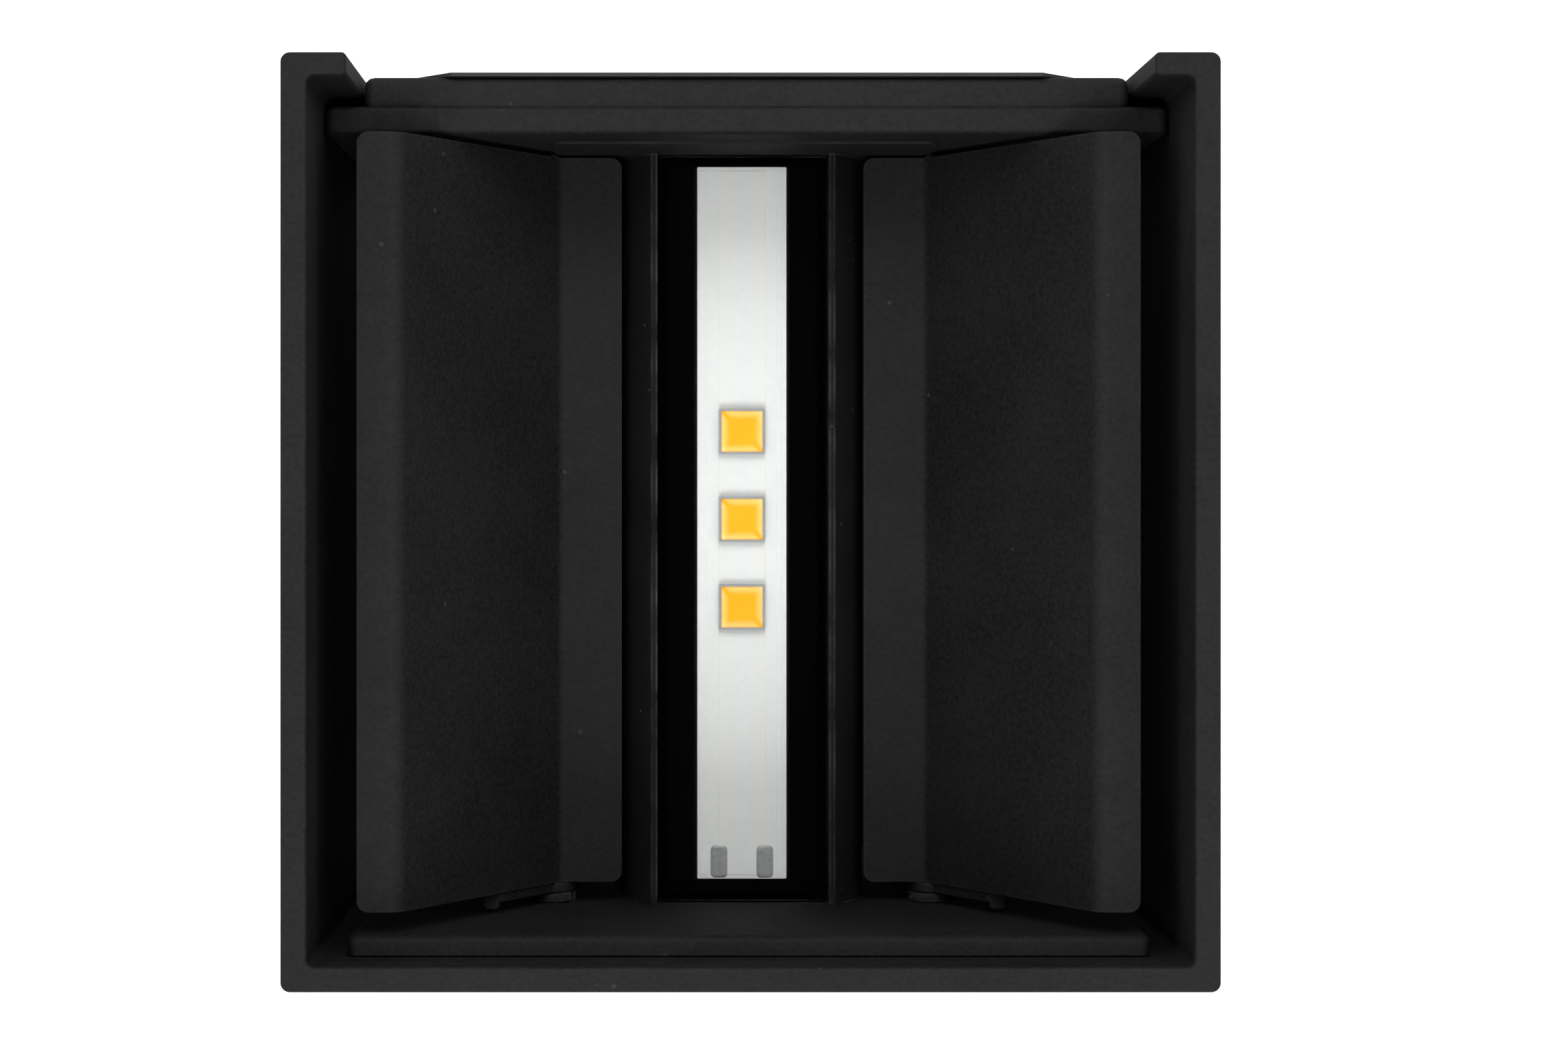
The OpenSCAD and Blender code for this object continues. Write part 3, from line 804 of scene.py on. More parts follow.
@dataclass
class Finishes:
    """Every finish on the lamp."""

    effects: Effects
    made: dict[str, bpy.types.Material] = field(default_factory=dict)

    # The coat's lighter edges are partly wear and partly a painted highlight; its up-facing faces are lightened partly
    # by dust and partly by painted top light.
    coat: Finish = Finish(
        "coat_matt_black", Slot.COAT, grey(0.0050, 0.0051), grey(0.0116, 0.0117), 0.74, specular=0.1, grain=0.5 * MM,
        bump=0.9, depth=0.08 * MM, specks=0.003, speck_colour=grey(0.025), wear_and_edge_highlight_colour=grey(0.035, 0.036), wear=0.45,
        dust=0.05)
    # Painted shade: a darker copy of the coat for the deep column, standing in for the shade inside the lamp; its
    # lighter edges are partly wear and partly a painted highlight.
    column: Finish = Finish(
        "coat_column", Slot.COAT, grey(0.0050, 0.0051), grey(0.0085, 0.0086), 0.74, specular=0.08, bump=0.3,
        specks=0.006, speck_colour=grey(0.04), wear_and_edge_highlight_colour=grey(0.16), wear=0.8)
    moulding: Finish = Finish(
        "frame_black", Slot.BLACK_MOULDING, grey(0.0003), grey(0.0006), 0.8, specular=0.0, grain=0.15 * MM, bump=0.1)
    rubber: Finish = Finish(
        "rubber_black", Slot.RUBBER, grey(0.012), grey(0.022), 0.8, specular=0.25, grain=0.5 * MM, bump=0.3, dust=0.15)
    zinc: Finish = Finish(
        "zinc_plated", Slot.ZINC, (0.40, 0.41, 0.43, 1), (0.50, 0.51, 0.535, 1), 0.38, metallic=1.0, grain=1.6 * MM,
        bump=0.12, wear_and_edge_highlight_colour=grey(0.75, 0.76), wear=0.4)
    black_steel: Finish = Finish(
        "steel_blackened", Slot.BLACK_STEEL, grey(0.035, 0.037), grey(0.08, 0.083), 0.42, metallic=1.0, grain=0.25 * MM,
        bump=0.3, wear_and_edge_highlight_colour=grey(0.3), wear=0.6)
    ring: Finish = Finish(
        "ring_rough_steel", Slot.BLACK_STEEL, grey(0.010), grey(0.024, 0.025), 0.75, metallic=0.25, specular=0.12,
        grain=0.45 * MM, bump=0.9, depth=0.08 * MM, specks=0.12, speck_colour=grey(0.07), wear_and_edge_highlight_colour=grey(0.04), wear=0.6)
    board: SolderMask = SolderMask(
        "board_lacquer", Slot.BOARD, grey(0.60, 0.598), grey(0.635, 0.63), 0.7, specular=0.15, grain=0.8 * MM,
        bump=0.06)
    package: Finish = Finish(
        "led_body", Slot.PACKAGE, (0.22, 0.225, 0.23, 1), (0.28, 0.285, 0.29, 1), grain=0.2 * MM, bump=0.05)
    phosphor: PhosphorGel = PhosphorGel(
        "led_gel", Slot.PHOSPHOR, (0.98, 0.345, 0.005, 1), (1.0, 0.38, 0.009, 1), specular=0.15, grain=0.12 * MM,
        bump=0.08)
    solder: Finish = Finish(
        "solder_tinned", Slot.SOLDER, grey(0.22), grey(0.30), 0.45, metallic=0.2, grain=0.5 * MM, bump=0.15)
    thermal: Finish = Finish("thermal_pad_grey", Slot.THERMAL, (0.2, 0.24, 0.28, 1), (0.27, 0.31, 0.35, 1), 0.85)
    white: Finish = Finish(
        "moulding_white", Slot.WHITE_MOULDING, grey(0.62, 0.6), grey(0.72, 0.7), 0.48, grain=0.4 * MM, bump=0.15,
        dust=0.2)
    red_lead: Finish = Finish(
        "lead_red", Slot.LEAD, (0.32, 0.015, 0.01, 1), (0.45, 0.03, 0.02, 1), 0.45, grain=0.4 * MM)
    glass: ClearGlass = ClearGlass()

    def dress(self, piece: Piece, finish: Any, body: str, *nodes: str) -> Piece:
        """Gives a finished piece its material, body and the nodes that it stands for.

        Args:
            piece: the piece.
            finish: one of this class's finishes.
            body: the CAD body that it moves with.
            nodes: the CAD nodes that it replaces.

        Returns:
            The same piece.
        """
        piece.data.materials.clear()
        piece.data.materials.append(self.material(finish))
        if nodes:
            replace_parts(piece, *nodes)
        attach(piece, body)
        LOG.info("%s on %s in %s", piece.name, body, finish.name)
        return piece

    def material(self, finish: Any) -> bpy.types.Material:
        """Gives a finish's material, made on its first use.

        Args:
            finish: one of this class's finishes.

        Returns:
            The material.
        """
        if finish.name not in self.made:
            self.made[finish.name] = finish.build(self.effects)
        return self.made[finish.name]


# ---------- repeated parts ----------


class Growers:
    """The geometry node trees that make what repeats or follows a rule."""

    ROW = {"Count": 3, "Pitch": 10.4 * MM, "Middle": "Vector", "Side": 5.4 * MM, "Height": 0.9 * MM, "Wall": 0.35 * MM}

    def __init__(self) -> None:
        """Builds every tree once."""
        self.fastener = self.make_fastener()
        self.led_body = self.make_led_body()
        self.gel = self.make_gel()
        self.pad = self.make_pad()
        self.ring = self.make_ring()
        self.sheet = self.make_sheet()

    @staticmethod
    def start(name: str, inputs: dict[str, Any]) -> Tree:
        """Starts a geometry tree with its named sizes."""
        every = {"Geometry": "Geometry", "Material": "Material", **inputs}
        return Tree.group(name, "GeometryNodeTree", every, {"Geometry": "Geometry"})

    @staticmethod
    def finish(tree: Tree, shape: Wire) -> Any:
        """Ends a tree with real geometry in its own material.

        Args:
            tree: the node tree.
            shape: the geometry.

        Returns:
            The finished tree.
        """
        real = tree.geo("RealizeInstances", {"Geometry": shape})
        painted = tree.geo("SetMaterial", {"Geometry": real, "Material": tree.get["Material"]})
        tree.feed(tree.result, {"Geometry": painted})
        return tree.data

    @classmethod
    def spread(cls, tree: Tree, shape: Wire) -> Any:
        """Puts a shape on every point, in the point's own direction, and ends the tree.

        Args:
            tree: the node tree.
            shape: the geometry that is repeated.

        Returns:
            The finished tree.
        """
        axis = tree.geo("InputNamedAttribute", {"Name": "axis"}, data_type="FLOAT_VECTOR")
        turn = tree.out("FunctionNodeAlignRotationToVector", {"Vector": axis}, axis="Z")
        feeds = {"Points": tree.get["Geometry"], "Instance": shape, "Rotation": turn}
        return cls.finish(tree, tree.geo("InstanceOnPoints", feeds))

    @classmethod
    def line_up(cls, tree: Tree, shape: Wire) -> Any:
        """Puts a shape on the row of points that the LEDs stand on, and ends the tree.

        Args:
            tree: the node tree.
            shape: the geometry that is repeated.

        Returns:
            The finished tree.
        """
        step = tree.xyz(Y=tree.get["Pitch"])
        back = tree.scaled(step, (tree.get["Count"] - 1.0) * -0.5)
        start = reckon("ADD", tree.get["Middle"], back, kind="VectorMath")
        row = tree.geo("MeshLine", {"Count": tree.get["Count"], "Start Location": start, "Offset": step})
        return cls.finish(tree, tree.geo("InstanceOnPoints", {"Points": row, "Instance": shape}))

    @classmethod
    def make_fastener(cls) -> Any:
        """Builds a screw or pin: a head above its seat, a shank below it and a recess in its top.

        Returns:
            The tree.
        """
        tree = cls.start("fastener", {
            "Head Foot": 4.4 * MM, "Head Top": 4.4 * MM, "Head Height": 1.6 * MM, "Shank": 2.5 * MM, "Length": 10 * MM,
            "Recess": 2.2 * MM, "Recess Depth": 1.0 * MM, "Slotted": False, "Sides": 32})
        get, sides = tree.get, tree.get["Sides"]
        tall, recess, double = get["Head Height"], get["Recess"], get["Recess Depth"] * 2.0
        head = tree.geo("MeshCone", {"Vertices": sides, "Radius Top": get["Head Top"] / 2.0,
                                           "Radius Bottom": get["Head Foot"] / 2.0, "Depth": tall})
        shank = tree.geo("MeshCylinder", {"Vertices": sides, "Radius": get["Shank"] / 2.0,
                                                "Depth": get["Length"] + tall * 0.5})
        whole = tree.boolean("UNION", head, tree.moved(shank, tree.xyz(Z=tall * 0.25 - get["Length"] * 0.5)))
        hexagon = tree.geo("MeshCylinder", {"Vertices": 6, "Radius": recess / 2.0, "Depth": double})
        slot = tree.geo("MeshCube", {"Size": tree.xyz(X=recess, Y=recess * 0.12, Z=double)})
        choice = tree.geo("Switch", {"Switch": get["Slotted"], "False": hexagon, "True": slot}, input_type="GEOMETRY")
        return cls.spread(tree, tree.boolean("DIFFERENCE", whole, tree.moved(choice, tree.xyz(Z=tall))))

    @classmethod
    def make_led_body(cls) -> Any:
        """Builds a row of LED bodies with an open well.

        Returns:
            The tree.
        """
        tree = cls.start("led_bodies", {**cls.ROW, "Floor": 0.3 * MM})
        side, tall = tree.get["Side"], tree.get["Height"]
        inside = side - tree.get["Wall"] * 2.0
        box, well = (tree.geo("MeshCube", {"Size": tree.xyz(X=w, Y=w, Z=tall)}) for w in (side, inside))
        return cls.line_up(tree, tree.boolean("DIFFERENCE", box, tree.moved(well, tree.xyz(Z=tree.get["Floor"]))))

    @classmethod
    def make_gel(cls) -> Any:
        """Builds a row of phosphor fillings with a sloping border.

        Returns:
            The tree, which also stores how pale the border is.
        """
        tree = cls.start("led_gels", {**cls.ROW, "Border": 1.1 * MM, "Slope": 0.16 * MM})
        side, border = tree.get["Side"], tree.get["Border"]
        size = tree.xyz(X=side, Y=side, Z=tree.get["Height"])
        block = tree.geo("MeshCube", {"Size": size, "Vertices X": 25, "Vertices Y": 25})
        x, y, z = tree.split(tree.geo("InputPosition"))
        reach = [side / 2.0 - abs(axis) for axis in (x, y)]
        rim = tree.ramp(reckon("MINIMUM", *reach), 0.0, border, 1.0, 0.0, smooth=True)
        ridge = tree.ramp(abs(x + y), 0.1 * MM, 0.7 * MM, smooth=True)
        corner = tree.ramp(reckon("MAXIMUM", *reach), 0.0, border, 1.0, 0.62, smooth=True)
        kept = tree.store(block, "border", rim * ridge * corner)
        down = tree.xyz(Z=rim * tree.get["Slope"] * (z > 0.0) * -1.0)
        return cls.line_up(tree, tree.geo("SetPosition", {"Geometry": kept, "Offset": down}))

    @classmethod
    def make_pad(cls) -> Any:
        """Builds tinned pads with rounded corners and sloping sides.

        Returns:
            The tree.
        """
        tree = cls.start("tinned_pads", {"Width": 2.05 * MM, "Length": 3.9 * MM, "Corner": 0.55 * MM,
                                         "Height": 0.12 * MM, "Slope": 0.35 * MM})
        get = tree.get
        quad = tree.geo("CurvePrimitiveQuadrilateral", {"Width": get["Width"], "Height": get["Length"]})
        soft = tree.geo("FilletCurve", {"Curve": quad, "Count": 6, "Radius": get["Corner"]}, mode="POLY")
        flat = tree.geo("FillCurve", {"Curve": soft}, mode="NGONS")
        side = tree.put("GeometryNodeExtrudeMesh", {"Mesh": flat, "Offset Scale": get["Height"]})
        grown, top = (Wire(tree, side.outputs[name]) for name in ("Mesh", "Top"))
        narrow, short = (1.0 - get["Slope"] * 2.0 / get[size] for size in ("Width", "Length"))
        place = reckon("MULTIPLY", tree.geo("InputPosition"), tree.xyz(X=narrow, Y=short, Z=1.0), kind="VectorMath")
        slope = tree.geo("SetPosition", {"Geometry": grown, "Selection": top, "Position": place})
        return cls.spread(tree, tree.closed(slope, flat))

    @classmethod
    def make_ring(cls) -> Any:
        """Builds split friction rings, each with one end bent out as a hook.

        Returns:
            The tree.
        """
        tree = cls.start("split_rings", {"Radius": 2.0 * MM, "Band": 1.3 * MM, "Height": 1.0 * MM, "Gap": 0.5,
                                         "Hook": 0.5 * MM, "Edge": 0.18 * MM})
        get = tree.get
        arc = tree.geo("CurveArc", {"Resolution": 56, "Radius": get["Radius"], "Start Angle": get["Gap"] / 2.0,
                                          "Sweep Angle": 2 * math.pi - get["Gap"]})
        away = tree.ramp(tree.geo("SplineParameter", output="Factor"), 0.90, 1.0, smooth=True) * get["Hook"]
        outward = tree.out("ShaderNodeVectorMath", {0: tree.geo("InputPosition")}, operation="NORMALIZE")
        offset = reckon("ADD", tree.scaled(outward, away), tree.xyz(Z=away * 0.35), kind="VectorMath")
        bent = tree.geo("SetPosition", {"Geometry": arc, "Offset": offset})
        quad = tree.geo("CurvePrimitiveQuadrilateral", {"Width": get["Band"], "Height": get["Height"]})
        soft = tree.geo("FilletCurve", {"Curve": quad, "Count": 3, "Radius": get["Edge"]}, mode="POLY")
        feeds = {"Curve": bent, "Profile Curve": soft, "Fill Caps": True}
        return cls.spread(tree, tree.geo("CurveToMesh", feeds))

    @classmethod
    def make_sheet(cls) -> Any:
        """Builds a bent sheet from its middle line, with rounded corners.

        Returns:
            The tree.
        """
        tree = cls.start("bent_sheet", {"Depth": 85 * MM, "Corner": 1.2 * MM, "Thickness": 2 * MM})
        depth, corner, thick = (tree.get[name] for name in ("Depth", "Corner", "Thickness"))
        line = tree.geo("MeshToCurve", {"Mesh": tree.get["Geometry"]})
        run = tree.geo("SplineParameter", output="Length")
        end = reckon("MINIMUM", run, tree.geo("SplineLength", output="Length") - run)
        edge = tree.geo("CurveToMesh", {"Curve": tree.store(line, "from_tip", end)})
        wide = tree.geo("ExtrudeMesh", {"Mesh": edge, "Offset": tree.xyz(Y=depth), "Offset Scale": 1.0}, mode="EDGES")
        tip = tree.geo("InputNamedAttribute", {"Name": "from_tip"}, data_type="FLOAT")
        short = corner - reckon("MINIMUM", tip, corner)
        inset = corner - reckon("SQRT", reckon("MAXIMUM", corner * corner - short * short, 0.0))
        y = tree.split(tree.geo("InputPosition"))[1]
        draw = tree.xyz(Y=inset * (1.0 - (y > depth * 0.5) * 2.0))
        plan = tree.geo("SetPosition", {"Geometry": wide, "Offset": draw})
        sink = tree.scaled(tree.geo("InputNormal"), thick * -0.5)
        lower = tree.geo("SetPosition", {"Geometry": plan, "Offset": sink})
        upper = tree.geo("ExtrudeMesh", {"Mesh": lower, "Offset Scale": thick, "Individual": False})
        return cls.finish(tree, tree.closed(upper, lower))

    @staticmethod
    def grow(name: str, seed: bpy.types.Mesh, tree: Any, material: Any, edge: float = 0.0, **sizes: Any) -> Piece:
        """Runs a tree on a seed mesh and keeps the result as a plain mesh.

        Args:
            name: the piece's name.
            seed: the points or line that the tree works on.
            tree: the tree.
            material: the material that it sets.
            edge: the width of a final rounding of edges, or 0.
            sizes: the tree's named sizes, with _ for a space.

        Returns:
            The plain mesh.
        """
        piece = link(name, seed)
        step = piece.modifiers.new("grow", "NODES")
        step.node_group = tree
        wanted = {"Material": material, **{key.replace("_", " "): value for key, value in sizes.items()}}
        for item in tree.interface.items_tree:
            if item.item_type == "SOCKET" and item.in_out == "INPUT" and item.name in wanted:
                step[item.identifier] = wanted.pop(item.name)
        if wanted:
            raise ValueError(f"{name}: the tree has no input {sorted(wanted)}")
        return settle(bevel(piece, edge) if edge else piece)


def points(places: Sequence[Sequence[float]], direction: Sequence[float] = UP) -> bpy.types.Mesh:
    """Makes a seed of points in one direction.

    Args:
        places: the points' places. One with six numbers has its own direction.
        direction: the direction of the others.

    Returns:
        The seed mesh.
    """
    mesh = bpy.data.meshes.new("seed")
    mesh.from_pydata([tuple(place[:3]) for place in places], [], [])
    axis = mesh.attributes.new("axis", "FLOAT_VECTOR", "POINT")
    for item, place in zip(axis.data, places):
        item.vector = tuple(place[3:]) or direction
    return mesh


# ---------- the lamp ----------


@dataclass
class Workshop:
    """What every sub-assembly needs: the finishes and the growing trees."""

    finishes: Finishes
    growers: Growers

    def fasteners(self, name: str, finish: Finish, node: str, seed: bpy.types.Mesh, edge: float = 0.12 * MM,
                  **sizes: float) -> None:
        """Makes a set of screws or pins that stands for a CAD node.

        Args:
            name: the piece's name.
            finish: its finish.
            node: the CAD node.
            seed: the points that they stand on.
            edge: the width of its rounded edges.
            sizes: the fastener's sizes.
        """
        made = self.growers.grow(name, seed, self.growers.fastener, self.finishes.material(finish), edge, **sizes)
        self.finishes.dress(shaded(made), finish, "lamp", node)

    def soften(self, name: str, node: str, finish: Finish, width: float, segments: int = 2) -> None:
        """Makes a piece that is its CAD node with rounded edges."""
        self.finishes.dress(shaded(softened(name, node, width, segments)), finish, "lamp")


@dataclass
class Shell:
    """The folded outer shell and its two grub screws."""

    shop: Workshop
    side_wall: float = 2.8 * MM
    front_wall: float = 2.7 * MM
    lip: float = 2.5 * MM
    lip_reach: float = 7.0 * MM
    tight: float = 0.5 * MM
    outer_radius: float = 1.0 * MM
    inner_radius: float = 0.8 * MM
    edge: float = 0.35 * MM
    bore_gap: float = 0.02 * MM
    sink: float = 0.35 * MM

    def build(self) -> None:
        """Makes the shell with rounded rims and its two screw holes."""
        done, coat = self.shop.finishes, self.shop.finishes.coat
        lo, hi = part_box("housing_shell")
        x, rear, front = hi.x, hi.y, lo.y
        inner, lip_x, wall = x - self.side_wall, x - self.lip_reach, front + self.front_wall
        corners = [
            (lip_x, rear - self.lip), (lip_x, rear), (x, rear), (x, front), (-x, front), (-x, rear), (-lip_x, rear),
            (-lip_x, rear - self.lip), (-inner, rear - self.lip), (-inner, wall), (inner, wall),
            (inner, rear - self.lip)]
        radii = [self.tight] * 2 + [self.outer_radius] * 4 + [self.tight] * 2 + [self.inner_radius] * 4
        shell = slab("shell", [fillet(corners, radii)], lo.z, hi.z, Along.HEIGHT, self.edge)
        lo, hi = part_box("shell_grub_screws")
        centre, bore = (lo + hi) / 2, (hi.z - lo.z) / 2
        holes = []
        for side in Side:
            hole = slab("hole", [circle(bore + self.bore_gap)], -4 * MM, 4 * MM, Along.HEIGHT)
            sink = slab("sink", [circle(bore + self.sink)], -0.5 * MM, 0.25 * MM, Along.HEIGHT, 0.24 * MM)
            turn = Matrix.Rotation(math.pi / 2 * side.value, 4, "Y")
            for cutter, at in ((hole, x - 1 * MM), (sink, x)):
                cutter.data.transform(Matrix.Translation((side.value * at, centre.y, centre.z)) @ turn)
                holes.append(cutter)
        done.dress(shaded(combine(shell, holes, "DIFFERENCE")), coat, "lamp", "housing_shell")
        deep = hi.x - (x - self.side_wall) + 1.0 * MM
        places = [(s.value * (hi.x - deep), centre.y, centre.z, s.value, 0, 0) for s in Side]
        self.shop.fasteners("grub_screws", done.black_steel, "shell_grub_screws", points(places), 0.08 * MM,
                            Head_Foot=2 * bore, Head_Top=2 * bore, Head_Height=deep, Shank=1.6 * MM,
                            Length=0.4 * MM, Recess=1.5 * MM, Recess_Depth=1.3 * MM)


@dataclass
class Base:
    """The cast base with what fixes it to the wall, and what it holds."""

    shop: Workshop
    cast_edge: float = 0.6 * MM
    step_edge: float = 1.1 * MM
    corner: float = 1.2 * MM
    step_w: float = 85.4 * MM
    step_thick: float = 3.3 * MM
    groove: float = 0.5 * MM
    land: Point = (44.0 * MM, 56.8 * MM)
    land_thick: float = 0.3 * MM
    pocket: Point = (69.0 * MM, 60.4 * MM)
    pocket_skin: float = 2.0 * MM
    hook_x: float = 20.0 * MM
    hook_slot: Point = (9 * MM, 4.4 * MM)
    screw: float = 2.7 * MM
    screw_rim: float = 2.2 * MM
    pin_rim: float = 2.0 * MM
    neck: float = 5 * MM
    lock_head: float = 1.6 * MM
    earth_head: float = 1.5 * MM
    clamp_radius: float = 1.45 * MM

    def casting(self) -> Piece:
        """Makes the cast base: step, flange and land, with its pocket, slots and holes.

        Returns:
            The casting.
        """
        lo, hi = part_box("rear_casting")
        height, joint, front = hi.z - lo.z, hi.y - self.step_thick, lo.y + self.land_thick
        flange = rectangle(hi.x - lo.x, height, self.corner)
        base = slab("base_casting", [flange], joint, front, Along.DEPTH, self.cast_edge)
        narrow = rectangle(self.step_w, height - 0.02 * MM, self.corner)
        step = slab("step", [narrow], hi.y, joint - self.groove, Along.DEPTH, self.step_edge)
        land = slab("land", [rectangle(*self.land, self.corner)], front + MM, lo.y, Along.DEPTH, 0.1 * MM)
        base = combine(base, [step, land], "UNION")
        floor = front + self.pocket_skin
        cutters = [slab("pocket", [rectangle(*self.pocket, self.corner)], MM, floor, Along.DEPTH, 0.4 * MM)]
        lock, grub = (sum(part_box(node), Vector()) / 2 for node in ("base_locking_screws", "shell_grub_screws"))
        pin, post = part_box("rear_pivot_pins")[1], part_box("column_rear_screws")[1]
        for s in (-1, 1):
            slot = rectangle(*self.hook_slot, 0.4 * MM, (s * self.hook_x, self.pocket[1] / 2 + 0.8 * MM))
            cutters.append(slab("slot", [slot], floor, -1.8 * MM, Along.DEPTH))
            for radius, depth in ((self.screw / 2, 6.0 * MM), (2.4 * MM, 2.0 * MM)):
                hole = circle(radius, (s * self.hook_x, lock.y), SMALL_ROUND)
                cutters.append(slab("hole", [hole], lo.z - MM, lo.z + depth, Along.HEIGHT))
            seat = slab("seat", [circle(1.25 * MM, steps=SMALL_ROUND)], 0, 3 * MM, Along.HEIGHT)
            turn = Matrix.Rotation(s * math.pi / 2, 4, "Y")
            seat.data.transform(Matrix.Translation((s * (hi.x - 0.9 * MM), grub.y, grub.z)) @ turn)
            cutters.append(seat)
            for t in (-1, 1):
                for corner, rim, radius in ((pin, self.pin_rim, 1.0 * MM), (post, self.screw_rim, self.screw / 2)):
                    hole = circle(radius, (s * (corner.x - rim), t * (corner.z - rim)), SMALL_ROUND)
                    cutters.append(slab("hole", [hole], MM, lo.y - MM, Along.DEPTH))
        cutters.append(slab("neck", [circle(self.neck)], MM, lo.y - MM, Along.DEPTH))
        return combine(base, cutters, "DIFFERENCE")

    def build(self) -> None:
        """Makes the casting, gasket, bracket, grommet and terminal parts."""
        done = self.shop.finishes
        done.dress(shaded(self.casting()), done.coat, "lamp", "rear_casting")
        for name, node, finish, width, segments in (
                ("gasket_pad", "wall_gasket", done.rubber, 0.08, 2),
                ("bracket_plate", "wall_bracket", done.zinc, 0.18, 2),
                ("grommet", "cable_grommet", done.rubber, 0.25, 2),
                ("terminal_body", "terminal_block", done.white, 0.2, 2),
                ("driver_case", "led_driver", done.white, 0.6, 3),
                ("supply_wires", "supply_leads", done.red_lead, 0.1, 2)):
            self.shop.soften(name, node, finish, width * MM, segments)
        self.screws()

    def screws(self) -> None:
        """Makes the locking, earth and terminal screws."""
        done = self.shop.finishes
        lo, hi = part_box("base_locking_screws")
        reach = (hi.y - lo.y) / 2
        places = [(s.value * (hi.x - reach), (lo.y + hi.y) / 2, lo.z + self.lock_head) for s in Side]
        self.shop.fasteners("locking_screws", done.black_steel, "base_locking_screws", points(places, (0, 0, -1)),
                            Head_Foot=2 * reach, Head_Top=1.9 * reach, Head_Height=self.lock_head, Shank=2.5 * MM,
                            Length=hi.z - lo.z - self.lock_head, Recess=2.3 * MM, Recess_Depth=1.1 * MM)
        lo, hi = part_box("earth_screw")
        height, head = ((lo + hi) / 2).z, lo.y + self.earth_head
        rims = [circle(3.5 * MM, (0, -height)), circle(1.55 * MM, (0, -height), SMALL_ROUND)]
        washer = slab("earth_washer", rims, head, head + 0.6 * MM, Along.DEPTH, 0.1 * MM)
        handed(washer, Side.RIGHT, Level.LOWER)
        self.shop.fasteners("earth", done.zinc, "earth_screw", points([(0, head, height)], (0, -1, 0)),
                            Head_Foot=5.5 * MM, Head_Top=5.2 * MM, Head_Height=self.earth_head, Shank=3 * MM,
                            Length=hi.y - head, Recess=6 * MM, Recess_Depth=0.7 * MM, Slotted=True)
        done.dress(shaded(washer), done.zinc, "lamp")
        lo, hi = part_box("terminal_screws")
        r, tall = self.clamp_radius, 1.0 * MM
        places = [(x, y, lo.z + tall) for x in (lo.x + r, 0, hi.x - r) for y in (lo.y + r, hi.y - r)]
        self.shop.fasteners("clamp_screws", done.zinc, "terminal_screws", points(places), 0.06 * MM, Head_Foot=2 * r,
                            Head_Top=2 * r, Head_Height=tall, Shank=1.6 * MM, Length=tall, Recess=3.4 * MM,
                            Recess_Depth=0.6 * MM, Slotted=True)


